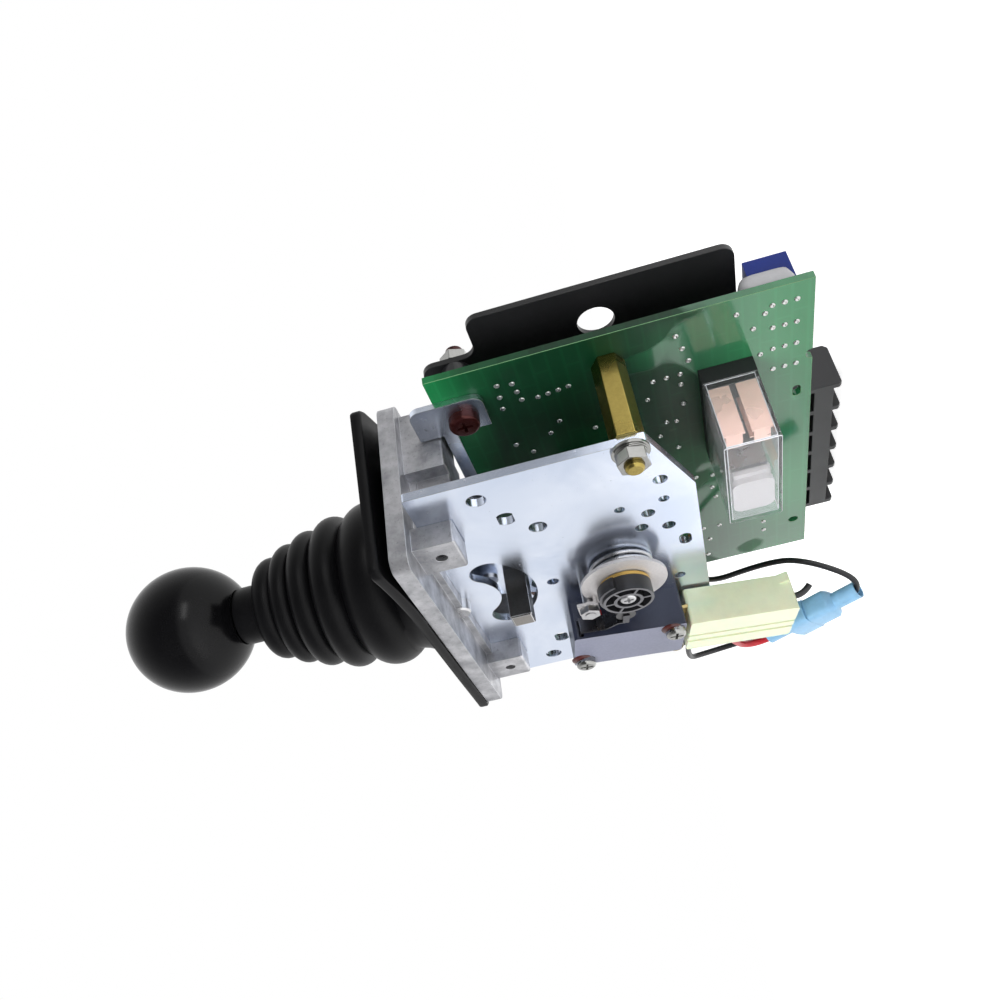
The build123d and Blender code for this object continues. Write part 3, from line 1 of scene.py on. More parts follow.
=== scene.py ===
"""Looks of a single-axis panel lever controller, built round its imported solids.

Every length is in metres, in the part's own frame: +Z runs along the upright lever
towards the knob, X is the lever's swing and the zinc side plate faces -Y.
"""

import json
import math

import bmesh
import bpy
import numpy as np
from bpy.props import FloatProperty, FloatVectorProperty, PointerProperty
from mathutils import Matrix, Vector

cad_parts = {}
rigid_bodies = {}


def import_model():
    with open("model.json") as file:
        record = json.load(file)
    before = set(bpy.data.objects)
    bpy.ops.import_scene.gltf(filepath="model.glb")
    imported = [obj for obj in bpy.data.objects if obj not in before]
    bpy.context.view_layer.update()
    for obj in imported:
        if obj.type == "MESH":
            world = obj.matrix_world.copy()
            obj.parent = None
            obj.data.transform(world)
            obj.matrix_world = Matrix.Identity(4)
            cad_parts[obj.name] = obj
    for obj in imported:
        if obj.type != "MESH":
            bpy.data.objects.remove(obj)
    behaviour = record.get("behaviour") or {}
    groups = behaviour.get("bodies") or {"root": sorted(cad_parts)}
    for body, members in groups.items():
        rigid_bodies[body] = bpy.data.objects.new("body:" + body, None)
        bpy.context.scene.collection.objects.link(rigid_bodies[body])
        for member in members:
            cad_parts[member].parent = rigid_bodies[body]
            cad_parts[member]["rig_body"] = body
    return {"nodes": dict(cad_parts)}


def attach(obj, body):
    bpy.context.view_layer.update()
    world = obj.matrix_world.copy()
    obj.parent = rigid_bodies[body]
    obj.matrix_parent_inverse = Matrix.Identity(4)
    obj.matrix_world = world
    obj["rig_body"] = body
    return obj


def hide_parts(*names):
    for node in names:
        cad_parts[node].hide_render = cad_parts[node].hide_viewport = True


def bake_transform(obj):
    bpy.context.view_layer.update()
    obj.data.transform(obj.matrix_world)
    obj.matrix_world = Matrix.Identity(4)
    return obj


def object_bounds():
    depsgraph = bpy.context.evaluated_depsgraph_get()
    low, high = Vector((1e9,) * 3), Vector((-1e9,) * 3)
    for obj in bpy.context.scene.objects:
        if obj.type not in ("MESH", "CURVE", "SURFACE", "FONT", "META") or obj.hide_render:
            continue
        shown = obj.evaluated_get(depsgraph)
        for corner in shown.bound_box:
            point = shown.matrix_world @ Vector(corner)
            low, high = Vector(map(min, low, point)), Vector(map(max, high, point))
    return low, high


bl_info = {
    "name": "Panel lever controller",
    "version": (1, 0, 0),
    "blender": (4, 5, 0),
    "location": "View3D > Sidebar > Lever",
    "description": "Dresses the solids of an industrial lever controller",
    "category": "Object",
}

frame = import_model()
CAD_LOW, CAD_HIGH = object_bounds()
MM = 0.001


# Meshes worked out as whole arrays


def link(name, data):
    """Puts a mesh, a curve, a lamp or a camera into the scene."""
    piece = bpy.data.objects.new(name, data)
    bpy.context.scene.collection.objects.link(piece)
    return piece


def grid_faces(rows, columns, wrap_rows, wrap_columns):
    """Quads between neighbouring rows and columns, joined up where a side wraps."""
    row = np.arange(rows if wrap_rows else rows - 1)
    column = np.arange(columns if wrap_columns else columns - 1)
    r, c = np.meshgrid(row, column, indexing="ij")
    next_r, next_c = (r + 1) % rows, (c + 1) % columns
    this, after = r * columns, next_r * columns
    return np.stack([this + c, this + next_c, after + next_c, after + c], axis=-1).reshape(-1, 4)


def outward(mesh):
    """Merges doubles and turns every face outwards."""
    work = bmesh.new()
    work.from_mesh(mesh)
    bmesh.ops.remove_doubles(work, verts=work.verts, dist=1e-7)
    bmesh.ops.recalc_face_normals(work, faces=work.faces)
    work.to_mesh(mesh)
    work.free()


def mesh_piece(name, points, faces, smooth=True):
    """A piece through a list of points, with all its faces turned outwards."""
    mesh = bpy.data.meshes.new(name)
    mesh.from_pydata(points.reshape(-1, 3).tolist(), [], faces)
    outward(mesh)
    mesh.polygons.foreach_set("use_smooth", np.full(len(mesh.polygons), smooth))
    return link(name, mesh)


def surface(name, points, wrap_rows=False, wrap_columns=True, smooth=True, caps=False):
    """A piece through a grid of points, rows by columns; caps close the first and last row."""
    rows, columns = points.shape[:2]
    faces = grid_faces(rows, columns, wrap_rows, wrap_columns).tolist()
    if caps:
        faces.append(list(range(columns)))
        faces.append(list(range((rows - 1) * columns, rows * columns)))
    return mesh_piece(name, points, faces, smooth)


def repeated(name, points, places):
    """Copies of one closed surface at many places, as a single piece."""
    rows, columns = points.shape[:2]
    spots = np.asarray(places, float)[:, None, :] + points.reshape(1, -1, 3)
    first = np.arange(len(places)) * rows * columns
    faces = grid_faces(rows, columns, False, True)[None] + first[:, None, None]
    return mesh_piece(name, spots, faces.reshape(-1, 4).tolist())


def lathe(profile, count, centre=(0, 0, 0), axis="Z"):
    """Points of a turned surface: each (radius, height) of the profile swept round an axis."""
    profile = np.asarray(profile, float)
    turn = np.linspace(0, 2 * math.pi, count, endpoint=False)
    radius, height = profile[:, 0, None], profile[:, 1, None]
    across = radius * np.cos(turn)
    upward = radius * np.sin(turn)
    along = np.broadcast_to(height, across.shape)
    parts = {"Z": (across, upward, along), "Y": (across, along, upward)}[axis]
    return np.stack(parts, axis=-1) + np.asarray(centre, float)


def arc_points(start, middle, end, count):
    """Points on the circle through three places, from start by way of middle to end."""
    ax, ay = start
    bx, by = middle
    cx, cy = end
    scale = 2 * (ax * (by - cy) + bx * (cy - ay) + cx * (ay - by))
    aa, bb, cc = ax * ax + ay * ay, bx * bx + by * by, cx * cx + cy * cy
    ox = (aa * (by - cy) + bb * (cy - ay) + cc * (ay - by)) / scale
    oy = (aa * (cx - bx) + bb * (ax - cx) + cc * (bx - ax)) / scale
    first = math.atan2(ay - oy, ax - ox)
    sweep_middle = (math.atan2(by - oy, bx - ox) - first) % (2 * math.pi)
    sweep_end = (math.atan2(cy - oy, cx - ox) - first) % (2 * math.pi)
    if sweep_middle > sweep_end:
        sweep_end -= 2 * math.pi
    angle = first + np.linspace(0, sweep_end, count)
    radius = math.hypot(ax - ox, ay - oy)
    return np.stack([ox + radius * np.cos(angle), oy + radius * np.sin(angle)], axis=-1)


def superellipse(power, count):
    """Places round a square two wide with soft corners, as their across and upward parts. A
    higher power tightens the corners."""
    turn = np.linspace(0, 2 * math.pi, count, endpoint=False)
    cosine, sine = np.cos(turn), np.sin(turn)
    reach = (np.abs(cosine) ** power + np.abs(sine) ** power) ** (-1 / power)
    return reach * cosine, reach * sine


def coat(piece, material, sharp=None):
    """Gives a new piece its material. Edges that turn by more than sharp degrees stay crisp."""
    if sharp:
        piece.data.set_sharp_from_angle(angle=math.radians(sharp))
    piece.data.materials.append(material)


# Shader parts


class Graph:
    """Short calls that add nodes to a material's or a group's tree and link them."""

    def __init__(self, tree):
        self.tree = tree

    def add(self, kind, inputs=None, **settings):
        node = self.tree.nodes.new(kind)
        for key, value in settings.items():
            setattr(node, key, value)
        for key, value in (inputs or {}).items():
            self.feed(node.inputs[key], value)
        return node

    def feed(self, socket, value):
        if isinstance(value, bpy.types.NodeSocket):
            self.tree.links.new(value, socket)
        else:
            socket.default_value = value

    def noise(self, vector, scale, detail, rough, distortion=0.0):
        values = {"Vector": vector, "Scale": scale, "Detail": detail, "Roughness": rough}
        return self.add("ShaderNodeTexNoise", {**values, "Distortion": distortion}).outputs["Fac"]

    def span(self, value, low, high, out_low=0.0, out_high=1.0):
        """Maps low..high to out_low..out_high, clamped."""
        values = {"Value": value, "From Min": low, "From Max": high, "To Min": out_low, "To Max": out_high}
        return self.add("ShaderNodeMapRange", values).outputs["Result"]

    def mix(self, factor, first, second):
        """Blends two colours; the node has its colour sockets at 6 and 7."""
        return self.add("ShaderNodeMix", {0: factor, 6: first, 7: second}, data_type="RGBA").outputs[2]

    def maths(self, operation, first, second):
        return self.add("ShaderNodeMath", {0: first, 1: second}, operation=operation).outputs[0]

    def times(self, first, second):
        return self.maths("MULTIPLY", first, second)

    def bump(self, height, distance, strength=1.0):
        values = {"Height": height, "Distance": distance, "Strength": strength}
        return self.add("ShaderNodeBump", values).outputs["Normal"]


def new_group(name, inputs, outputs):
    """An empty shader group with named sockets: (name, kind, default) and (name, kind)."""
    tree = bpy.data.node_groups.new(name, "ShaderNodeTree")
    for label, kind, default in inputs:
        tree.interface.new_socket(label, in_out="INPUT", socket_type=kind).default_value = default
    for label, kind in outputs:
        tree.interface.new_socket(label, in_out="OUTPUT", socket_type=kind)
    graph = Graph(tree)
    entry = graph.add("NodeGroupInput")
    leave = graph.add("NodeGroupOutput")
    return tree, graph, entry.outputs, leave.inputs


FLOAT, COLOUR, VECTOR = "NodeSocketFloat", "NodeSocketColor", "NodeSocketVector"


def make_grain_group():
    """Moulded or cast grain: two sizes of noise give a colour shift, a roughness and a bump."""
    tree, g, given, out = new_group(
        "Surface grain",
        [
            ("Colour", COLOUR, (0.5, 0.5, 0.5, 1)),
            ("Shade", FLOAT, 0.1),
            ("Roughness", FLOAT, 0.5),
            ("Roughness spread", FLOAT, 0.1),
            ("Grain size", FLOAT, 0.0004),
            ("Relief", FLOAT, 0.00001),
        ],
        [("Colour", COLOUR), ("Roughness", FLOAT), ("Normal", VECTOR)],
    )
    place = g.add("ShaderNodeTexCoord").outputs["Object"]
    scale = g.maths("DIVIDE", 1.0, given["Grain size"])
    fine = g.noise(place, scale, 4.0, 0.6)
    broad = g.noise(place, g.times(scale, 0.06), 3.0, 0.5)
    both = g.maths("ADD", g.times(fine, 0.5), g.times(broad, 0.5))
    swell = g.times(g.maths("SUBTRACT", both, 0.5), g.times(given["Shade"], 3.0))
    light = {0: given["Colour"], "Scale": g.maths("ADD", 1.0, swell)}
    g.feed(out["Colour"], g.add("ShaderNodeVectorMath", light, operation="SCALE").outputs[0])
    swing = g.times(g.maths("SUBTRACT", broad, 0.5), g.times(given["Roughness spread"], 2.5))
    g.feed(out["Roughness"], g.maths("ADD", given["Roughness"], swing))
    g.feed(out["Normal"], g.bump(fine, given["Relief"]))
    return tree


def make_speckle_group():
    """Scattered small spots: a noise cut at a level gives their mask."""
    tree, g, given, out = new_group(
        "Speckle",
        [("Spot size", FLOAT, 0.001), ("Amount", FLOAT, 0.3), ("Softness", FLOAT, 0.05)],
        [("Mask", FLOAT)],
    )
    place = g.add("ShaderNodeTexCoord").outputs["Object"]
    value = g.noise(place, g.maths("DIVIDE", 1.0, given["Spot size"]), 2.0, 0.6)
    level = g.maths("SUBTRACT", 0.75, g.times(given["Amount"], 0.5))
    cut = {"Value": value, "From Min": level, "From Max": g.maths("ADD", level, given["Softness"])}
    node = g.add("ShaderNodeMapRange", cut, interpolation_type="SMOOTHSTEP")
    g.feed(out["Mask"], node.outputs["Result"])
    return tree


GROUPS = {}


def use_group(graph, key, inputs):
    """Places a shared group in a material with its own values."""
    makers = {"grain": make_grain_group, "speckle": make_speckle_group}
    if key not in GROUPS:
        GROUPS[key] = makers[key]()
    return graph.add("ShaderNodeGroup", inputs, node_tree=GROUPS[key]).outputs


# Grained finishes by name: colour, roughness, metal, shade, roughness spread, grain and relief,
# both in millimetres. A finish without a colour takes it from the settings.
FINISHES = {
    "Turned steel": ((0.50, 0.50, 0.51), 0.30, 1.0, 0.2, 0.08, 0.5, 0.006),
    # Drive bar: its steel darkened as painted shade, and its near -Y end paler as painted light
    "Bar steel painted shade": ((0.07, 0.068, 0.066), 0.36, 0.9, 0.3, 0.08, 0.5, 0.01),
    "Bar end painted light": ((0.26, 0.245, 0.23), 0.4, 0.9, 0.3, 0.08, 0.4, 0.02),
    "Black socket screw": ((0.03, 0.03, 0.032), 0.4, 0.6, 0.1, 0.08, 0.3, 0.01),
    "Blued leaf steel": ((0.10, 0.10, 0.11), 0.28, 1.0, 0.2, 0.08, 0.4, 0.004),
    "Red lacquer on steel": ((0.045, 0.008, 0.007), 0.22, 0.6, 0.5, 0.08, 1.2, 0.05),
    "Ground disc": ((0.60, 0.58, 0.58), 0.5, 0.55, 0.2, 0.08, 0.5, 0.01),
    "Sheared zinc edge": ((0.42, 0.44, 0.48), 0.42, 1.0, 0.6, 0.08, 0.25, 0.03),
    "Rubbed casting edge": ((0.50, 0.51, 0.53), 0.38, 1.0, 0.3, 0.08, 0.3, 0.02),
    "Nickel plate": ((0.32, 0.32, 0.31), 0.18, 1.0, 0.2, 0.08, 0.5, 0.006),
    "Turned brass": ((0.62, 0.42, 0.13), 0.25, 1.0, 0.1, 0.08, 0.6, 0.004),
    "Yellow brass": ((0.36, 0.28, 0.08), 0.28, 1.0, 0.3, 0.08, 0.8, 0.01),
    "Tab brass": ((0.60, 0.44, 0.18), 0.3, 1.0, 0.1, 0.08, 0.4, 0.01),
    "Sintered bronze": ((0.40, 0.24, 0.11), 0.5, 1.0, 0.1, 0.08, 0.3, 0.02),
    "Copper winding": ((0.62, 0.26, 0.14), 0.35, 0.9, 0.3, 0.08, 0.15, 0.05),
    "Copper blade": ((0.88, 0.58, 0.48), 0.3, 0.5, 0.1, 0.08, 0.4, 0.004),
    "Solder": ((0.62, 0.63, 0.62), 0.28, 1.0, 0.3, 0.08, 0.3, 0.02),
    "Black moulding": ((0.014, 0.014, 0.016), 0.42, 0.0, 0.2, 0.08, 0.4, 0.01),
    # Cam drum's near -Y face: paler, a painted sheen for the light it catches
    "Drum face painted sheen": ((0.10, 0.10, 0.11), 0.42, 0.0, 0.2, 0.08, 0.3, 0.01),
    "Switch case": ((0.020, 0.024, 0.045), 0.36, 0.0, 0.2, 0.08, 0.5, 0.012),
    # Switch case's near -Y face: paler, a painted sheen for the light it catches
    "Switch side painted sheen": ((0.19, 0.20, 0.27), 0.45, 0.0, 0.25, 0.06, 0.8, 0.012),
    "Red button": ((0.42, 0.03, 0.03), 0.35, 0.0, 0.1, 0.08, 0.4, 0.01),
    "Roller nylon": ((0.05, 0.05, 0.052), 0.4, 0.0, 0.1, 0.08, 0.4, 0.01),
    "Ivory nylon": ((0.73, 0.78, 0.56), 0.30, 0.0, 0.12, 0.08, 3.0, 0.03),
    "Locking paint": ((0.05, 0.007, 0.006), 0.25, 0.0, 0.5, 0.08, 0.8, 0.05),
    "Splice sleeve": ((0.30, 0.58, 0.84), 0.30, 0.0, 0.25, 0.08, 1.6, 0.05),
    "Trimmer blue": ((0.008, 0.025, 0.20), 0.34, 0.0, 0.2, 0.08, 0.5, 0.008),
    "Bobbin nylon": ((0.50, 0.49, 0.48), 0.4, 0.0, 0.1, 0.08, 0.5, 0.01),
    "Pusher card": ((0.52, 0.50, 0.50), 0.42, 0.0, 0.1, 0.08, 0.5, 0.01),
    "Clear cover": ((0.96, 0.97, 0.99), 0.05, 0.0, 0.02, 0.03, 2.0, 0.004),
    "Cover edge": ((0.74, 0.75, 0.79), 0.2, 0.0, 0.3, 0.08, 0.6, 0.01),
    "Laminate edge": ((0.14, 0.30, 0.14), 0.55, 0.0, 0.3, 0.08, 0.3, 0.02),
    "White sealant": ((0.50, 0.50, 0.52), 0.45, 0.0, 0.15, 0.08, 1.0, 0.05),
    "Guard paint": ((0.012, 0.012, 0.013), 0.38, 0.0, 0.15, 0.06, 0.5, 0.012),
    "Boot rubber": (None, 0.38, 0.0, 0.3, 0.10, 0.5, 0.012),
    "Knob plastic": (None, 0.2, 0.0, 0.2, 0.06, 2.0, 0.004),
    "Black insulation": (None, 0.38, 0.0, 0.15, 0.08, 0.5, 0.004),
    "Red insulation": (None, 0.32, 0.0, 0.15, 0.08, 0.5, 0.004),
}
# What a finish sets on other sockets of its shader
SOCKETS = {
    "Bright zinc": {"Metallic": 1.0},
    "Cast alloy": {"Metallic": 0.9},
    "Board coating": {"Coat Roughness": 0.08, "Specular IOR Level": 0.3},
    "Ivory nylon": {"Subsurface Weight": 0.25, "Subsurface Scale": 0.004, "Coat Weight": 0.2},
    "Splice sleeve": {"Transmission Weight": 0.25},
    "Trimmer blue": {"Specular IOR Level": 0.2},
    "Clear cover": {"Transmission Weight": 0.93, "IOR": 1.15},
    "Guard paint": {"Specular IOR Level": 0.4},
    "Boot rubber": {"Specular IOR Level": 0.10},
    "Knob plastic": {"Specular IOR Level": 0.13},
    "Pale floor": {"Base Color": (0.92, 0.92, 0.92, 1), "Roughness": 0.8, "Specular IOR Level": 0.0},
}
MATERIALS = {}


def new_material(name):
    """A material with its graph and its Principled shader, whose plain sockets are set."""
    material = bpy.data.materials.new(name)
    material.use_nodes = True
    principled = material.node_tree.nodes["Principled BSDF"]
    for label, value in SOCKETS.get(name, {}).items():
        principled.inputs[label].default_value = value
    MATERIALS[name] = material
    return material, Graph(material.node_tree), principled


def finish(name, colour=None):
    """A finish by its name, made once: one with a function of its own, or a grained one."""
    if name in MATERIALS:
        return MATERIALS[name]
    material, graph, principled = new_material(name)
    if name in DRAWN:
        place = graph.add("ShaderNodeTexCoord").outputs["Object"]
        DRAWN[name](graph, place, principled.inputs)
    else:
        grained(graph, principled.inputs, colour or FINISHES[name][0], *FINISHES[name][1:])
    return material


def grained(g, shader, colour, roughness, metal, shade, spread, grain, relief):
    """An even colour under fine grain."""
    values = {
        "Colour": (*colour, 1),
        "Shade": shade,
        "Roughness": roughness,
        "Roughness spread": spread,
        "Grain size": grain * MM,
        "Relief": relief * MM,
    }
    made = use_group(g, "grain", values)
    g.feed(shader["Base Color"], made["Colour"])
    g.feed(shader["Roughness"], made["Roughness"])
    g.feed(shader["Normal"], made["Normal"])
    shader["Metallic"].default_value = metal


def bright_zinc(g, place, shader):
    """Bright zinc plate: bluish, nearly a mirror, clouded by its passivation and dotted with dust."""
    cloud = g.noise(place, 38.0, 4.0, 0.55, 0.6)
    fine = g.noise(place, 900.0, 3.0, 0.6)
    spots = use_group(g, "speckle", {"Spot size": 0.9 * MM, "Amount": 0.12, "Softness": 0.05})["Mask"]
    tint = g.mix(g.span(cloud, 0.35, 0.68), (0.62, 0.69, 0.83, 1), (0.81, 0.86, 0.96, 1))
    g.feed(shader["Base Color"], g.mix(g.times(spots, 0.4), tint, (0.45, 0.45, 0.47, 1)))
    rough = g.maths("ADD", g.span(cloud, 0.3, 0.7, 0.16, 0.30), g.times(spots, 0.25))
    g.feed(shader["Roughness"], rough)
    g.feed(shader["Normal"], g.bump(fine, 0.004 * MM))


def cast_alloy(g, place, shader):
    """Tumbled die casting: mid grey with darker pits and paler rubbed patches."""
    patch = g.noise(place, 160.0, 5.0, 0.62)
    pit = g.noise(place, 1500.0, 4.0, 0.65)
    tone = g.mix(g.span(patch, 0.35, 0.68), (0.28, 0.283, 0.30, 1), (0.56, 0.56, 0.585, 1))
    tone = g.mix(g.span(pit, 0.58, 0.72, 0.0, 0.55), tone, (0.12, 0.12, 0.125, 1))
    g.feed(shader["Base Color"], tone)
    g.feed(shader["Roughness"], g.span(patch, 0.3, 0.7, 0.52, 0.36))
    g.feed(shader["Normal"], g.bump(pit, 0.03 * MM, 0.8))


def copper_tracks(g, place):
    """Mask of long fine tracks in the board's plane: the joints of a narrow brick pattern."""
    upright = {"Vector": place, "Rotation": (math.radians(90), 0, 0)}
    flat = g.add("ShaderNodeMapping", upright, vector_type="POINT")
    sizes = {
        "Vector": flat.outputs["Vector"],
        "Scale": 95.0,
        "Mortar Size": 0.035,
        "Mortar Smooth": 0.4,
        "Brick Width": 0.9,
        "Row Height": 0.32,
    }
    return g.add("ShaderNodeTexBrick", sizes, offset=0.35, squash=1.6, squash_frequency=3).outputs["Fac"]


def board_coating(g, place, shader):
    """Green solder mask with faint copper tracks, under clear coating that pools in patches
    past the standoffs. The green is painted darker in the middle as shade and more vivid towards
    both ends along Z as light, among random patches; the coated patches get their real gloss
    and a paler painted sheen."""
    height = g.add("ShaderNodeSeparateXYZ", {"Vector": place}).outputs["Z"]
    patch = g.noise(place, 48.0, 1.5, 0.5, 0.7)
    weave = g.noise(place, 1300.0, 2.0, 0.5)
    broad = g.noise(place, 26.0, 2.0, 0.5)
    pooled = g.span(height, -0.050, -0.062)
    thick = g.maths("ADD", patch, g.span(height, -0.066, -0.088, 0.0, 0.16))
    covered = g.times(g.span(thick, 0.48, 0.51), pooled)
    line = g.times(copper_tracks(g, place), 0.35)
    # Painted shade green and painted light green, each with the faint tracks
    painted_shade_green = g.mix(line, (0.002, 0.028, 0.010, 1), (0.004, 0.048, 0.018, 1))
    painted_light_green = g.mix(line, (0.006, 0.150, 0.042, 1), (0.014, 0.210, 0.066, 1))
    # Painted light: a mask that rises towards both ends of the board along Z
    bright = g.maths("MAXIMUM", g.span(height, -0.070, -0.088), g.span(height, -0.026, -0.016))
    green = g.mix(g.maths("MAXIMUM", bright, g.span(broad, 0.5, 0.7, 0.0, 0.5)), painted_shade_green, painted_light_green)
    # Painted sheen: the coated patches turn paler and greyer, beside their real coat gloss
    painted_sheen_green = g.mix(0.3, green, (0.10, 0.34, 0.18, 1))
    g.feed(shader["Base Color"], g.mix(g.times(covered, 0.8), green, painted_sheen_green))
    g.feed(shader["Roughness"], g.span(covered, 0.0, 1.0, 0.42, 0.12))
    g.feed(shader["Coat Weight"], g.span(covered, 0.0, 1.0, 0.05, 0.7))
    relief = g.maths("ADD", g.times(weave, 0.05), g.times(covered, 0.4))
    g.feed(shader["Normal"], g.bump(relief, 0.10 * MM, 0.7))


DRAWN = {"Bright zinc": bright_zinc, "Cast alloy": cast_alloy, "Board coating": board_coating}


# Pieces made from the CAD nodes

FACET_TURN = math.radians(0.4)
EDGE_TURN = math.radians(32)
# Flat faces turned this far along -Y get the near finish, which paints the light they catch
NEAR_FACING = -0.97


def dressed(node, width, material, edge=None, near=None, segments=2):
    """A copy of a CAD node with its facets merged and its edges rounded by a width in
    millimetres. Without a width its facets and edges stay. Finishes are given by name; near
    goes on the flat faces that look along -Y and paints on them the light those faces catch."""
    source = frame["nodes"][node]
    mesh = source.data.copy()
    work = bmesh.new()
    work.from_mesh(mesh)
    bmesh.ops.remove_doubles(work, verts=work.verts, dist=2e-6)
    if width:
        bmesh.ops.dissolve_limit(work, angle_limit=FACET_TURN, verts=work.verts, edges=work.edges)
    work.to_mesh(mesh)
    work.free()
    mesh.materials.clear()
    mesh.materials.append(finish(material))
    mesh.materials.append(finish(edge or material))
    if "custom_normal" in mesh.attributes:
        mesh.attributes.remove(mesh.attributes["custom_normal"])
    index = np.zeros(len(mesh.polygons), np.int32)
    if near:
        mesh.materials.append(finish(near))
        normals = np.empty(len(mesh.polygons) * 3)
        mesh.polygons.foreach_get("normal", normals)
        index[normals.reshape(-1, 3)[:, 1] < NEAR_FACING] = 2
    mesh.polygons.foreach_set("material_index", index)
    mesh.shade_smooth()
    mesh.set_sharp_from_angle(angle=EDGE_TURN)
    piece = link(node + "_dressed", mesh)
    if width:
        bevel = piece.modifiers.new("Rounded edges", "BEVEL")
        bevel.width = width * MM
        bevel.segments = segments
        bevel.limit_method = "ANGLE"
        bevel.angle_limit = EDGE_TURN
        bevel.material = 1
        bevel.harden_normals = True
        bevel.use_clamp_overlap = True
    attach(piece, source["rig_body"])
    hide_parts(node)


def keep_nodes(material, *nodes):
    """CAD nodes whose shape is right keep their meshes and get a finish, given by name."""
    for node in nodes:
        mesh = frame["nodes"][node].data
        mesh.materials.clear()
        mesh.materials.append(finish(material))


# Sizes and colours that a user would change


def number(name, description, default, **limits):
    """A number for the panel."""
    return FloatProperty(name=name, description=description, default=default, **limits)


def length(name, description, default, **limits):
    """A length for the panel."""
    return number(name, description, default, unit="LENGTH", **limits)


def colour(name, description, default):
    """A colour for the panel."""
    return FloatVectorProperty(
        name=name, description=description, subtype="COLOR", default=default, min=0.0, max=1.0
    )


class StageSettings(bpy.types.PropertyGroup):
    """Camera place and light level."""

    camera_place: FloatVectorProperty(
        name="Camera place",
        description="Where the camera stands, in the part's frame",
        default=(0.1986, -0.1182, -0.0495),
        subtype="TRANSLATION",
        unit="LENGTH",
    )
    lens: number("Lens", "Focal length in millimetres on a 36 mm sensor", 34.2, min=10.0)
    world_level: number("World level", "Strength of the even light from all round", 0.55, min=0.0)
    dark_side: number("Dark side", "How bright metal sees the room behind the camera", 0.14, min=0.0)
    key_power: number("Key light", "Power of the main soft light in watts", 1.8, min=0.0, unit="POWER")


class BootSettings(bpy.types.PropertyGroup):
    """Rubber boot: its wall, its foot and its colour."""

    wall: length("Wall", "Wall thickness", 0.0014, min=0.0005)
    foot_radius: length("Foot radius", "Radius where the bellows start", 0.018)
    far_lift: length("Far lift", "How far the skirt curls up at its +X +Y corner", 0.0039)
    near_lift: length("Near lift", "How far the skirt curls up at its +X -Y corner", 0.0020)
    colour: colour("Rubber colour", "Base colour of the rubber", (0.0035, 0.0035, 0.004))


class KnobSettings(bpy.types.PropertyGroup):
    """Ball knob: its size, height and colour."""

    radius: length("Radius", "Radius of the ball", 0.016)
    height: length("Height", "Height of the ball's centre", 0.066)
    flat: length("Flat", "Distance from the centre to the flat foot", 0.0142)
    colour: colour("Knob colour", "Base colour of the knob", (0.0035, 0.0035, 0.004))


class LeadSettings(bpy.types.PropertyGroup):
    """Hook-up wires: thickness and colours."""

    radius: length("Radius", "Radius of the black leads", 0.00075)
    red_radius: length("Red radius", "Radius of the red lead", 0.00095)
    spare_radius: length("Spare radius", "Radius of the cut lead", 0.0008)
    black: colour("Black", "Colour of the black leads", (0.012, 0.012, 0.014))
    red: colour("Red", "Colour of the red lead", (0.45, 0.01, 0.02))


# Operators, one for each piece or group of like pieces

CAMERA_RIGHT = Vector((-0.242, -0.135, -0.961))
CAMERA_UPWARD = Vector((0.514, 0.822, -0.245))
SENSOR_WIDTH = 36.0
NEAREST = 0.005
FLOOR_DROP = 0.002
FLOOR_REACH = 3


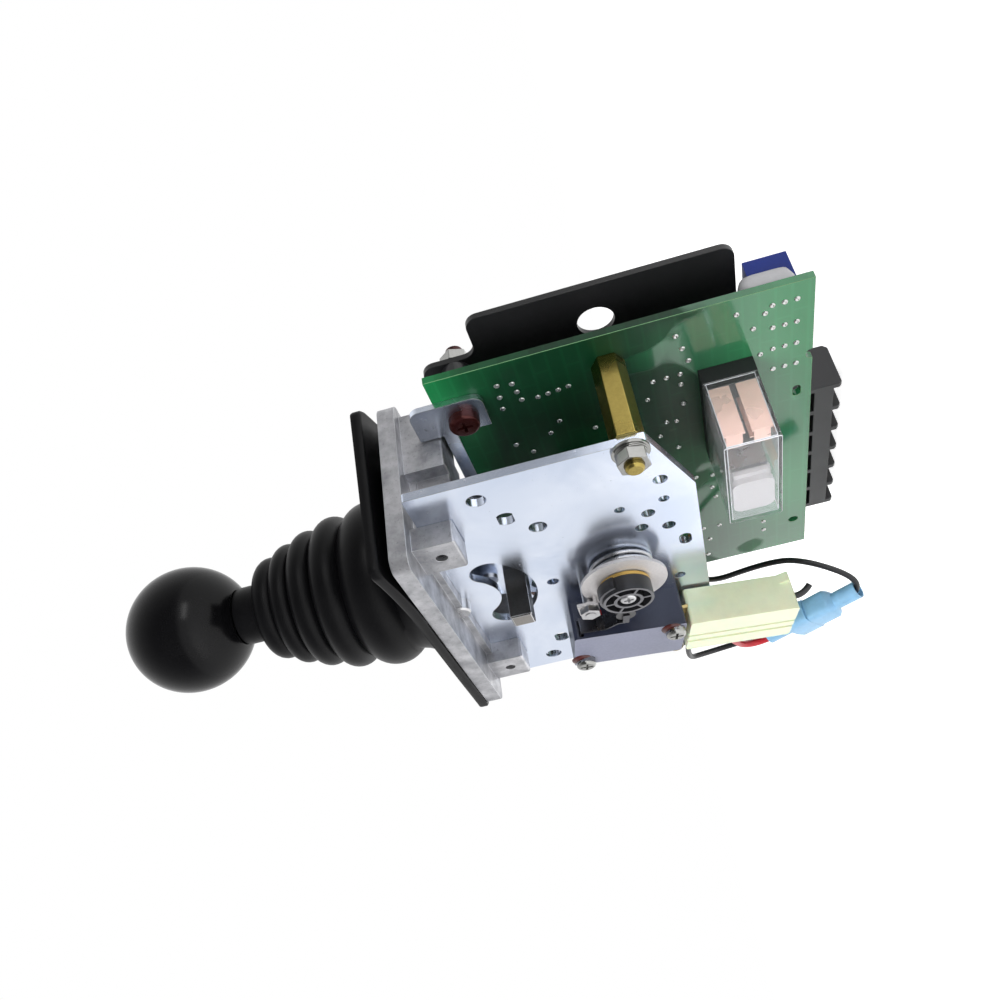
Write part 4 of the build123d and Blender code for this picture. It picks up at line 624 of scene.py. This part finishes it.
class LEVER_OT_stage(bpy.types.Operator):
    """Camera, lamps, floor and world"""

    bl_idname = "lever.stage"
    bl_label = "Stage"

    def execute(self, context):
        scene = context.scene
        settings = scene.lever_stage
        scene.view_settings.view_transform = "Standard"
        data = bpy.data.cameras.new("View")
        camera = link("View", data)
        data.lens = settings.lens
        data.sensor_width = SENSOR_WIDTH
        data.clip_start = NEAREST
        back = CAMERA_RIGHT.cross(CAMERA_UPWARD).normalized()
        upward = back.cross(CAMERA_RIGHT).normalized()
        right = CAMERA_RIGHT.normalized()
        turn = Matrix((right, upward, back)).transposed().to_4x4()
        camera.matrix_world = Matrix.Translation(settings.camera_place) @ turn
        scene.camera = camera
        self.lamps(scene, settings.key_power, right, upward, back)
        self.floor()
        self.world(scene, settings, back)
        return {"FINISHED"}

    def lamps(self, scene, power, right, upward, back):
        """Soft boxes that only light matt surfaces, and one that only shines in gloss: name,
        what it lights, the way there, width, watts and whether it shines."""
        centre = (CAD_LOW + CAD_HIGH) / 2
        knob = Vector((0, 0, scene.lever_knob.height))
        places = [
            ("Key", centre, back * 0.36 - upward * 0.26 - right * 0.16, 0.30, power, False),
            ("Fill", centre, back * 0.30 + right * 0.28 + upward * 0.22, 0.34, power * 0.45, False),
            ("High", centre, Vector((-0.20, 0.16, 0.42)), 0.34, power * 0.55, False),
            ("Glint", knob, back * 0.40 + upward * 0.36 + right * 0.10, 0.28, power * 0.8, True),
        ]
        for name, target, way, size, watts, shines in places:
            data = bpy.data.lights.new(name, "AREA")
            data.shape = "SQUARE"
            data.size = size
            data.energy = watts
            lamp = link(name, data)
            lamp.location = target + way
            lamp.rotation_mode = "QUATERNION"
            lamp.rotation_quaternion = (-way).to_track_quat("-Z", "Y")
            lamp.visible_glossy = shines
            lamp.visible_diffuse = not shines

    def floor(self):
        """A wide pale floor just under the lowest point. It glows a little for the camera and
        in mirrors, so that it stays white."""
        reach = np.linspace(-FLOOR_REACH, FLOOR_REACH, 3)
        x, y = np.meshgrid(reach, reach, indexing="ij")
        points = np.stack([x, y, np.full_like(x, CAD_LOW.z - FLOOR_DROP)], axis=-1)
        floor = surface("Floor", points, wrap_columns=False, smooth=False)
        for polygon in floor.data.polygons:
            if polygon.normal.z < 0:
                polygon.flip()
        material, g, principled = new_material("Pale floor")
        path = g.add("ShaderNodeLightPath")
        seen = g.maths("MAXIMUM", path.outputs["Is Camera Ray"], path.outputs["Is Glossy Ray"])
        seen = g.maths("MAXIMUM", seen, path.outputs["Is Transmission Ray"])
        glow = g.add("ShaderNodeEmission", {"Strength": g.times(seen, 0.7)})
        both = g.add("ShaderNodeAddShader", {0: principled.outputs[0], 1: glow.outputs[0]})
        g.feed(material.node_tree.nodes["Material Output"].inputs["Surface"], both.outputs[0])
        coat(floor, material)

    def world(self, scene, settings, back):
        """White for the camera and through glass, and a plain grey level as light. Metal sees
        a white wall behind the part that darkens round towards the camera's side of the room."""
        world = bpy.data.worlds.new("Studio")
        scene.world = world
        world.use_nodes = True
        g = Graph(world.node_tree)
        background = world.node_tree.nodes["Background"]
        path = g.add("ShaderNodeLightPath")
        way = g.add("ShaderNodeTexCoord").outputs["Generated"]
        facing = g.add("ShaderNodeVectorMath", {0: way, 1: tuple(back)}, operation="DOT_PRODUCT")
        wall = g.span(facing.outputs["Value"], -0.3, 0.62, 1.0, settings.dark_side)
        level = g.span(path.outputs["Is Glossy Ray"], 0.0, 1.0, settings.world_level, wall)
        seen = g.maths("MAXIMUM", path.outputs["Is Camera Ray"], path.outputs["Is Transmission Ray"])
        g.feed(background.inputs["Color"], (1, 1, 1, 1))
        g.feed(background.inputs["Strength"], g.span(seen, 0.0, 1.0, level, 1.0))


def wire(name, route, radius, material, node):
    """A round lead on one smooth NURBS line through its route's control points."""
    curve = bpy.data.curves.new(name, "CURVE")
    curve.dimensions = "3D"
    spline = curve.splines.new("NURBS")
    spline.points.add(len(route) - 1)
    points = np.ones((len(route), 4))
    points[:, :3] = np.asarray(route, float) * MM
    spline.points.foreach_set("co", points.ravel())
    spline.order_u = 3
    spline.use_endpoint_u = True
    spline.resolution_u = 12
    curve.bevel_depth = radius
    curve.bevel_resolution = 5
    curve.use_fill_caps = True
    curve.materials.append(material)
    piece = link(name, curve)
    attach(piece, "base")
    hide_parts(node)
    return piece


SPLICE_LOW = np.array((-51.5, -15.0, -77.5))
SPLICE_HIGH = np.array((-35.0, -15.0, -100.4))
SPLICE_WAY = (SPLICE_HIGH - SPLICE_LOW) / np.linalg.norm(SPLICE_HIGH - SPLICE_LOW)
BORE_DEPTH = 5.0
LEAD_SIDE = np.array((0.740, 0.410, 0.532))
MOUTH_START = SPLICE_HIGH - SPLICE_WAY * 1.2 - LEAD_SIDE * 1.15
BOARD_LEAD = [
    (-49.0, 12.0, -61.0),
    (-49.0, 2.6, -61.0),
    (-30.5, -3.6, -82.0),
    (-26.6, -8.2, -89.8),
    MOUTH_START + SPLICE_WAY * 3.4 + LEAD_SIDE * 4.8,
    MOUTH_START,
    MOUTH_START - SPLICE_WAY * (BORE_DEPTH - 1.2),
]
SWITCH_MOUTH = SPLICE_LOW + np.array((0, 0.95, 0))
RED_MOUTH = SPLICE_LOW - np.array((0, 0.85, 0))
SWITCH_TURN = math.radians(10.3)
SWITCH_ALONG = np.array((-math.sin(SWITCH_TURN), 0, -math.cos(SWITCH_TURN)))
SWITCH_UP = np.array((math.cos(SWITCH_TURN), 0, -math.sin(SWITCH_TURN)))
SWITCH_CENTRE = np.array((-23.5, -10.8, -41.0))
SWITCH_HOLES = (11.1, 5.15)
SWITCH_THICK = 10.1
HOUSING_START = 15.1
HOUSING_LENGTH = 27.0
HOUSING_LOWER = -8.1


def at_switch(along, upward, height):
    """A place given in the micro switch's own plane, in millimetres."""
    return SWITCH_CENTRE + SWITCH_ALONG * along + SWITCH_UP * upward - np.array((0, height, 0))


class LEVER_OT_leads(bpy.types.Operator):
    """Hook-up leads between the board, the ivory housing and the splice"""

    bl_idname = "lever.leads"
    bl_label = "Leads"

    def execute(self, context):
        settings = context.scene.lever_leads
        black = finish("Black insulation", settings.black)
        red = finish("Red insulation", settings.red)
        board_lead = wire("board_lead_wire", BOARD_LEAD, settings.radius, black, "board_lead")
        start = at_switch(HOUSING_START + 2.4, HOUSING_LOWER, 5.5)
        switch_route = [
            start,
            start - SWITCH_UP * 17.5,
            (-56.2, -14.05, -60.0),
            SWITCH_MOUTH - SPLICE_WAY * 2.5,
            SWITCH_MOUTH + SPLICE_WAY * BORE_DEPTH,
        ]
        switch_lead = wire("switch_lead_wire", switch_route, settings.radius, black, "switch_lead")
        red_start = at_switch(HOUSING_START + 12.0, HOUSING_LOWER, 6.5)
        red_route = [
            red_start,
            red_start - SWITCH_UP * 4.0,
            RED_MOUTH - SPLICE_WAY * 7.0,
            RED_MOUTH + SPLICE_WAY * BORE_DEPTH,
        ]
        wire("red_lead_wire", red_route, settings.red_radius, red, "red_lead")
        spare_start = at_switch(HOUSING_START + HOUSING_LENGTH, 5.4, 6.2)
        spare_bend = spare_start + SWITCH_ALONG * 2.4
        spare_route = [spare_start, spare_bend, spare_bend + np.array((0.9, 1.9, -2.0))]
        wire("spare_lead_wire", spare_route, settings.spare_radius, black, "spare_lead")
        return {"FINISHED"}


def tapered_sleeve(name, start, way, stations, material, node):
    """A sleeve along a line: at each station (along, half width, half depth, power) a
    superellipse, whose corners tighten as the power grows."""
    across = np.cross(way, (0, 1, 0))
    rows = []
    for along, half_width, half_depth, power in stations:
        x, y = superellipse(power, 48)
        middle = start + way * along
        rows.append(middle + np.outer(x * half_width, across) + np.outer(y * half_depth, (0, 1, 0)))
    piece = surface(name, np.array(rows) * MM, wrap_rows=True)
    coat(piece, material, sharp=50)
    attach(piece, "base")
    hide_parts(node)


# Length of each half: the two end just short of each other
SPLICE_HALF = 14.08


def splice_stations(step, half_width, bore_width, bore_depth):
    """One splice half: a round neck as far as the step, then a wide box with its bore."""
    return [
        (0.0, 1.95, 1.95, 2.0),
        (0.0, 2.3, 2.3, 2.0),
        (step, 2.25, 2.25, 2.0),
        (step + 0.8, half_width - 0.5, 3.0, 3.0),
        (step + 1.6, half_width, 3.2, 5.0),
        (SPLICE_HALF, half_width, 3.2, 5.0),
        (SPLICE_HALF, bore_width, bore_depth, 4.0),
        (step + 2.0, bore_width, bore_depth, 4.0),
        (step + 0.4, 1.95, 1.95, 2.0),
    ]


class LEVER_OT_splice(bpy.types.Operator):
    """Two halves of the blue insulated splice"""

    bl_idname = "lever.splice"
    bl_label = "Splice"

    def execute(self, context):
        blue = finish("Splice sleeve")
        socket, plug = splice_stations(6.6, 4.8, 3.9, 2.4), splice_stations(6.8, 4.0, 3.0, 2.2)
        tapered_sleeve("splice_socket_sleeve", SPLICE_LOW, SPLICE_WAY, socket, blue, "splice_socket")
        tapered_sleeve("splice_plug_sleeve", SPLICE_HIGH, -SPLICE_WAY, plug, blue, "splice_plug")
        return {"FINISHED"}


# The boot in millimetres: the crest of each fold and the valley above it as (radius, height)
RIDGES = [(20.4, 15.1), (19.1, 23.6), (17.2, 30.6), (15.2, 36.3), (12.9, 40.9)]
VALLEYS = [(17.0, 19.8), (15.4, 27.5), (13.4, 33.7), (11.3, 38.7), (7.3, 43.5)]
COLLAR_RADIUS = 7.3
COLLAR_TOP = 51.6
COLLAR_STRAIGHT = (49.0, 45.2)
COLLAR_BORE = 5.3
FOLD_POINTS = 15
BOOT_FOOT_HEIGHT = 7.9
SKIRT_SIZE = (81.2, 44.2)
SKIRT_CORNER = 2.2
SKIRT_CURL = 26.0
SKIRT_THICK = 2.4
SKIRT_UNDERSIDE = 0.02
FOOT_WALL = 1.4
FOOT_HOLLOW_HEIGHT = 2.6
SPREAD_SIZE = (46.0, 38.0)
SPREAD_CORNER = 12.0
PANEL_HOLES = [(x, y) for x in (-31.0, 31.0) for y in (-13.5, 13.5)]
PANEL_HOLE_RADIUS = 1.8
STILL = (0, 0)


def rounded_rectangle(size, corner, turn):
    """Where rays at these angles from the centre meet a rectangle with round corners."""
    half_x, half_y = size[0] / 2, size[1] / 2
    cosine, sine = np.cos(turn), np.sin(turn)
    reach = np.minimum(half_x / np.maximum(np.abs(cosine), 1e-9), half_y / np.maximum(np.abs(sine), 1e-9))
    cx, cy = half_x - corner, half_y - corner
    along = cx * np.abs(cosine) + cy * np.abs(sine)
    inside = along**2 - (cx**2 + cy**2 - corner**2)
    rounded = along + np.sqrt(np.maximum(inside, 0))
    x, y = reach * np.abs(cosine), reach * np.abs(sine)
    in_corner = (x > cx) & (y > cy)
    return np.where(in_corner, np.minimum(rounded, reach), reach)


def corner_angles(count):
    """Evenly spread angles with a few more just about the skirt's four corners."""
    base = np.linspace(0, 2 * math.pi, count, endpoint=False)
    corner = math.atan2(SKIRT_SIZE[1], SKIRT_SIZE[0])
    near = np.array([-0.03, -0.018, -0.009, 0.0, 0.009, 0.018, 0.03])
    corners = (corner, math.pi - corner, math.pi + corner, 2 * math.pi - corner)
    extra = np.concatenate([near + place for place in corners])
    return np.unique(np.round(np.concatenate([base, extra]), 5))


class LEVER_OT_boot(bpy.types.Operator):
    """Bellows boot from its collar down to the skirt that lies on the flange"""

    bl_idname = "lever.boot"
    bl_label = "Boot"

    def execute(self, context):
        settings = context.scene.lever_boot
        wall = settings.wall / MM
        turn = corner_angles(192)
        outer = self.bellows(settings.foot_radius / MM)
        inner = [(max(radius - wall, COLLAR_BORE), height) for radius, height in outer[::4]][::-1]
        rows = [self.ring(radius, height, turn) for radius, height in outer]
        rows += self.skirt_rows(settings, turn)
        rows += [self.ring(radius, height, turn) for radius, height in inner]
        piece = surface("boot_bellows", np.array(rows) * MM, wrap_rows=True)
        self.punch(piece)
        coat(piece, finish("Boot rubber", settings.colour), sharp=55)
        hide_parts("boot")
        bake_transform(piece)
        return {"FINISHED"}

    def bellows(self, foot_radius):
        """The collar and the five round convolutions as (radius, height), from the top down."""
        foot = (foot_radius, BOOT_FOOT_HEIGHT)
        lip = [
            (6.2, COLLAR_TOP - 0.2),
            (6.7, COLLAR_TOP),
            (COLLAR_RADIUS - 0.15, COLLAR_TOP - 0.1),
            (COLLAR_RADIUS, COLLAR_TOP - 0.6),
        ]
        straight = [(COLLAR_RADIUS, height) for height in COLLAR_STRAIGHT]
        lower = [foot] + VALLEYS[:-1]
        folds = [
            arc_points(valley, ridge, low, FOLD_POINTS)[:-1]
            for ridge, valley, low in zip(RIDGES[::-1], VALLEYS[::-1], lower[::-1])
        ]
        return np.concatenate([lip, straight, *folds, [foot]])

    def lift(self, x, y, amounts):
        """How far the skirt has curled away from the flange: more at +X, and more at +Y there."""
        near, far = amounts
        share = np.clip((x - SKIRT_SIZE[0] / 2 + SKIRT_CURL) / SKIRT_CURL, 0, 1)
        amount = near + (far - near) * np.clip(y / SKIRT_SIZE[1] + 0.5, 0, 1)
        return amount * share**1.9

    def ring(self, radius, height, turn, amounts=STILL):
        """A row of points round the boot, raised where the skirt curls."""
        x, y = radius * np.cos(turn), radius * np.sin(turn)
        return np.stack([x, y, height + self.lift(x, y, amounts)], axis=-1)

    def skirt_rows(self, settings, turn):
        """From the foot out over the skirt's top, round its edge and back underneath."""
        lift = (settings.near_lift / MM, settings.far_lift / MM)
        foot = settings.foot_radius / MM
        drop = SKIRT_THICK - BOOT_FOOT_HEIGHT
        spread = rounded_rectangle(SPREAD_SIZE, SPREAD_CORNER, turn)
        edge = rounded_rectangle(SKIRT_SIZE, SKIRT_CORNER, turn)
        rows = []
        for share in (0.25, 0.5, 0.75, 0.92, 1.0):
            height = BOOT_FOOT_HEIGHT + drop * (1 - (1 - share) ** 1.5)
            rows.append((foot + (spread - foot) * share**1.3, height, STILL))
        for share in (0.06, 0.15, 0.3, 0.45, 0.6, 0.75, 0.88, 0.97):
            rows.append((spread + (edge - spread) * share, SKIRT_THICK, lift))
        rows += [
            (edge - 0.15, SKIRT_THICK - 0.1, lift),
            (edge, SKIRT_THICK - 0.5, lift),
            (edge, 0.4, lift),
            (edge - 0.4, SKIRT_UNDERSIDE, lift),
        ]
        for share in (0.95, 0.8, 0.6, 0.4, 0.2, 0.08):
            rows.append((spread + (edge - spread) * share, SKIRT_UNDERSIDE, lift))
        hollow = spread - FOOT_WALL
        rows += [(hollow, SKIRT_UNDERSIDE, STILL), (hollow, FOOT_HOLLOW_HEIGHT, STILL)]
        return [self.ring(radius, height, turn, amounts) for radius, height, amounts in rows]

    def punch(self, piece):
        """The four screw holes through the skirt."""
        profile = np.array([(PANEL_HOLE_RADIUS, -4.0), (PANEL_HOLE_RADIUS, 14.0)]) * MM
        places = [lathe(profile, 28, (x * MM, y * MM, 0)) for x, y in PANEL_HOLES]
        cutters = [surface("hole_cutter", points, caps=True) for points in places]
        for cutter in cutters:
            cut = piece.modifiers.new("Hole", "BOOLEAN")
            cut.operation = "DIFFERENCE"
            cut.solver = "EXACT"
            cut.object = cutter
        depsgraph = bpy.context.evaluated_depsgraph_get()
        mesh = bpy.data.meshes.new_from_object(piece.evaluated_get(depsgraph))
        piece.modifiers.clear()
        piece.data = mesh
        for cutter in cutters:
            bpy.data.objects.remove(cutter)


KNOB_EDGE = 0.4 * MM
KNOB_BORE = 6.0 * MM
KNOB_BORE_DEPTH = 15.9 * MM


class LEVER_OT_knob(bpy.types.Operator):
    """Polished ball knob with its brass insert"""

    bl_idname = "lever.knob"
    bl_label = "Knob"

    def execute(self, context):
        settings = context.scene.lever_knob
        radius, height, flat = settings.radius, settings.height, settings.flat
        angle = np.linspace(math.pi / 2, -math.asin(flat / radius), 72)
        ball = np.stack([radius * np.cos(angle), height + radius * np.sin(angle)], axis=-1)
        ball[0, 0] = 0.0
        foot = height - flat
        under = [
            (ball[-1, 0] - KNOB_EDGE, foot),
            (KNOB_BORE + 0.2 * MM, foot),
            (KNOB_BORE, foot + 0.3 * MM),
            (KNOB_BORE, foot + KNOB_BORE_DEPTH),
            (0.0, foot + KNOB_BORE_DEPTH),
        ]
        piece = surface("ball_knob_shell", lathe(np.concatenate([ball, under]), 128))
        coat(piece, finish("Knob plastic", settings.colour), sharp=40)
        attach(piece, "lever")
        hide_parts("ball_knob")
        keep_nodes("Turned brass", "knob_insert")
        return {"FINISHED"}


class LEVER_OT_metalwork(bpy.types.Operator):
    """Casting, side plate, strap, lever, gears and cam stack"""

    bl_idname = "lever.metalwork"
    bl_label = "Metalwork"

    def execute(self, context):
        dressed("mounting_flange", 0.45, "Cast alloy", "Rubbed casting edge")
        dressed("side_plate", 0.12, "Bright zinc", "Sheared zinc edge")
        dressed("rear_strap", 0.12, "Bright zinc", "Sheared zinc edge")
        dressed("friction_disc", 0.08, "Ground disc", "Sheared zinc edge")
        dressed("sector_gear", 0.08, "Bright zinc", "Sheared zinc edge")
        # Drive bar: painted shade on its steel, painted light on its near -Y end
        dressed("drive_bar", 0.12, "Bar steel painted shade", "Turned steel", near="Bar end painted light")
        dressed("ear_nut", 0.15, "Turned steel")
        # The cam drum's -Y faces get a paler finish: painted sheen
        dressed("cam_drum", 0.1, "Black moulding", near="Drum face painted sheen")
        dressed("drum_screw", 0.08, "Turned steel")
        keep_nodes("Turned steel", "lever_body", "pivot_pin", "sector_rivets", "cam_shaft")
        keep_nodes("Turned steel", "friction_spring", "ear_stud", "web_screws")
        keep_nodes("Sintered bronze", "lever_bush", "shaft_bearing")
        keep_nodes("Turned brass", "pinion_gear", "friction_ring")
        keep_nodes("Black socket screw", "plate_set_screws")
        keep_nodes("Black moulding", "position_sensor")
        return {"FINISHED"}


DAB_RADIUS = 2.6
DAB_HEIGHT = 0.75
DAB_OFFSET = (-0.9, 0.8)


class LEVER_OT_switch(bpy.types.Operator):
    """Micro switch, its leaf, roller and screws, and the ivory tab housing"""

    bl_idname = "lever.switch"
    bl_label = "Switch"

    def execute(self, context):
        # The switch case's -Y faces get a paler finish: painted sheen
        dressed("switch_case", 0.0, "Switch case", near="Switch side painted sheen")
        dressed("tab_housing", 0.22, "Ivory nylon")
        dressed("switch_screws", 0.12, "Nickel plate")
        keep_nodes("Blued leaf steel", "switch_leaf")
        keep_nodes("Red button", "switch_plunger")
        keep_nodes("Roller nylon", "switch_roller")
        self.thread_lock()
        keep_nodes("Tab brass", "switch_tabs")
        return {"FINISHED"}

    def thread_lock(self):
        """Dabs of dark red locking paint, low domes squeezed out beside both screw heads."""
        angle = np.linspace(0, math.pi / 2, 9)
        dome = np.stack([DAB_RADIUS * np.cos(angle), DAB_HEIGHT * np.sin(angle)], axis=-1)
        dome = np.concatenate([[(0.0, -0.02), (DAB_RADIUS, -0.02)], dome[:-1], [(0.0, DAB_HEIGHT)]])
        dome[:, 1] = -dome[:, 1]
        (hole_x, hole_y), (off_x, off_y) = SWITCH_HOLES, DAB_OFFSET
        places = [
            at_switch(side * hole_x + off_x, side * hole_y + off_y, SWITCH_THICK) for side in (-1, 1)
        ]
        dab = repeated("locking_paint", lathe(dome * MM, 28, axis="Y"), np.array(places) * MM)
        coat(dab, finish("Locking paint"))
        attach(dab, "base")


class LEVER_OT_board(bpy.types.Operator):
    """Coated board with its relay, trimmers and terminal block"""

    bl_idname = "lever.board"
    bl_label = "Board"

    def execute(self, context):
        dressed("circuit_board", 0.08, "Board coating", "Laminate edge", segments=1)
        dressed("terminal_block", 0.2, "Black moulding")
        dressed("terminal_screws", 0.15, "Nickel plate")
        dressed("trimmer_bodies", 0.15, "Trimmer blue")
        dressed("relay_base", 0.15, "Black moulding")
        dressed("relay_cover", 0.26, "Clear cover", "Cover edge")
        keep_nodes("Turned brass", *(f"trimmer_screw_{number}" for number in range(1, 5)))
        keep_nodes("Bobbin nylon", "relay_bobbin")
        keep_nodes("Copper winding", "relay_coil")
        keep_nodes("Turned steel", "relay_yoke")
        keep_nodes("Pusher card", "relay_armature")
        keep_nodes("Copper blade", "relay_blades")
        return {"FINISHED"}


BOARD_FACE = 12.0
BOARD_BACK = 13.8
TRIMMER_FIRST = 28.35
TRIMMER_PITCH = 6.75
# Rings of the sealant bank, from the board out: height over the board, how far it draws in
SEALANT_RINGS = ((0.0, 13.0), (0.0, 0.0), (2.5, 0.3), (4.4, 0.8), (5.1, 1.5), (5.2, 13.0))
SEALANT_HALF = (14.3, 6.4)
SEALANT_MIDDLE = -87.0
# Profile of a solder joint as (radius, height), from its inside out and back over its top
SOLDER_PROFILE = [(0.0, 0.03), (0.66, 0.03), (0.64, -0.06), (0.52, -0.24)]
SOLDER_PROFILE += [(0.38, -0.3), (0.28, -0.16), (0.0, -0.12)]
# Rows of solder joints on the board's near face: x, z, step in x, step in z, count
JOINT_ROWS = [
    (TRIMMER_FIRST, -86.9, TRIMMER_PITCH, 0, 4),
    (TRIMMER_FIRST, -89.4, TRIMMER_PITCH, 0, 4),
    (TRIMMER_FIRST, -91.9, TRIMMER_PITCH, 0, 4),
    (46.8, -28.8, -3.9, 0.3, 3),
    (46.2, -32.0, -2.9, -0.4, 3),
    (39.8, -36.3, 0.3, -2.3, 4),
    (25.3, -28.0, -4.2, -3.2, 2),
    (26.3, -36.4, 3.5, -2.7, 2),
    (24.0, -46.4, 5.0, -12.7, 2),
    (34.7, -60.9, 0.1, -3.0, 3),
    (31.4, -66.8, -7.0, 0, 2),
    (19.1, -62.4, -0.5, -2.3, 2),
    (14.3, -60.4, -6.2, -3.8, 2),
    (-7.0, -67.3, -0.7, -4.2, 2),
    (-13.4, -71.0, -4.8, -0.7, 2),
    (-33.3, -67.5, -0.1, -4.4, 2),
    (-39.9, -68.9, -8.6, 1.0, 2),
    (-37.4, -83.9, -4.6, 0, 2),
    (48.7, -79.6, -1.9, -5.8, 2),
    (47.2, -67.0, -4.3, -1.0, 3),
    (43.1, -82.9, -8.7, -1.3, 2),
]


class LEVER_OT_solder(bpy.types.Operator):
    """Solder joints on the board's near face, and the white sealant round the trimmers"""

    bl_idname = "lever.solder"
    bl_label = "Solder and sealant"

    def execute(self, context):
        places = [
            (x + i * step_x, BOARD_FACE, z + i * step_z)
            for x, z, step_x, step_z, count in JOINT_ROWS
            for i in range(count)
        ]
        profile = lathe(np.array(SOLDER_PROFILE) * MM, 14, axis="Y")
        joints = repeated("solder_joints", profile, np.array(places) * MM)
        coat(joints, finish("Solder"))
        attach(joints, "base")
        self.sealant()
        return {"FINISHED"}

    def sealant(self):
        """A low bank with a soft top: superellipses that shrink as they leave the board."""
        x, z = superellipse(7, 72)
        middle = TRIMMER_FIRST + 1.5 * TRIMMER_PITCH
        rows = []
        for out, shrink in SEALANT_RINGS:
            half_x, half_z = SEALANT_HALF[0] - shrink, max(SEALANT_HALF[1] - shrink, 0.05)
            height = np.full_like(x, BOARD_BACK + out)
            rows.append(np.stack([middle + x * half_x, height, SEALANT_MIDDLE + z * half_z], axis=-1))
        bank = surface("trimmer_sealant", np.array(rows) * MM, caps=True)
        coat(bank, finish("White sealant"), sharp=50)
        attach(bank, "base")


class LEVER_OT_fixings(bpy.types.Operator):
    """Standoffs, nuts, screws, spacers and the black guard plate"""

    bl_idname = "lever.fixings"
    bl_label = "Fixings"

    def execute(self, context):
        dressed("guard_plate", 0.15, "Guard paint")
        dressed("board_standoffs", 0.15, "Yellow brass")
        dressed("hex_nuts", 0.2, "Nickel plate")
        dressed("standoff_washers", 0.12, "Nickel plate")
        dressed("board_screws", 0.12, "Nickel plate")
        dressed("strap_screws", 0.12, "Red lacquer on steel")
        keep_nodes("Black moulding", "guard_spacers")
        return {"FINISHED"}


class LEVER_PT_panel(bpy.types.Panel):
    """Lists the pieces and their settings"""

    bl_idname = "LEVER_PT_panel"
    bl_label = "Panel lever"
    bl_space_type = "VIEW_3D"
    bl_region_type = "UI"
    bl_category = "Lever"

    def draw(self, context):
        for operator in OPERATORS:
            self.layout.operator(operator.bl_idname)
        for name in SETTINGS:
            box = self.layout.box()
            settings = getattr(context.scene, name)
            for key in settings.bl_rna.properties.keys():
                if key not in ("rna_type", "name"):
                    box.prop(settings, key)


OPERATORS = (
    LEVER_OT_stage,
    LEVER_OT_splice,
    LEVER_OT_leads,
    LEVER_OT_boot,
    LEVER_OT_knob,
    LEVER_OT_metalwork,
    LEVER_OT_switch,
    LEVER_OT_board,
    LEVER_OT_solder,
    LEVER_OT_fixings,
)
SETTINGS = {
    "lever_stage": StageSettings,
    "lever_boot": BootSettings,
    "lever_knob": KnobSettings,
    "lever_leads": LeadSettings,
}


def register():
    for kind in (*SETTINGS.values(), *OPERATORS, LEVER_PT_panel):
        bpy.utils.register_class(kind)
    for name, kind in SETTINGS.items():
        setattr(bpy.types.Scene, name, PointerProperty(type=kind))


def unregister():
    for name in SETTINGS:
        delattr(bpy.types.Scene, name)
    for kind in reversed((*SETTINGS.values(), *OPERATORS, LEVER_PT_panel)):
        bpy.utils.unregister_class(kind)


def main():
    register()
    for operator in OPERATORS:
        group, action = operator.bl_idname.split(".")
        getattr(getattr(bpy.ops, group), action)()


if __name__ == "__main__":
    main()
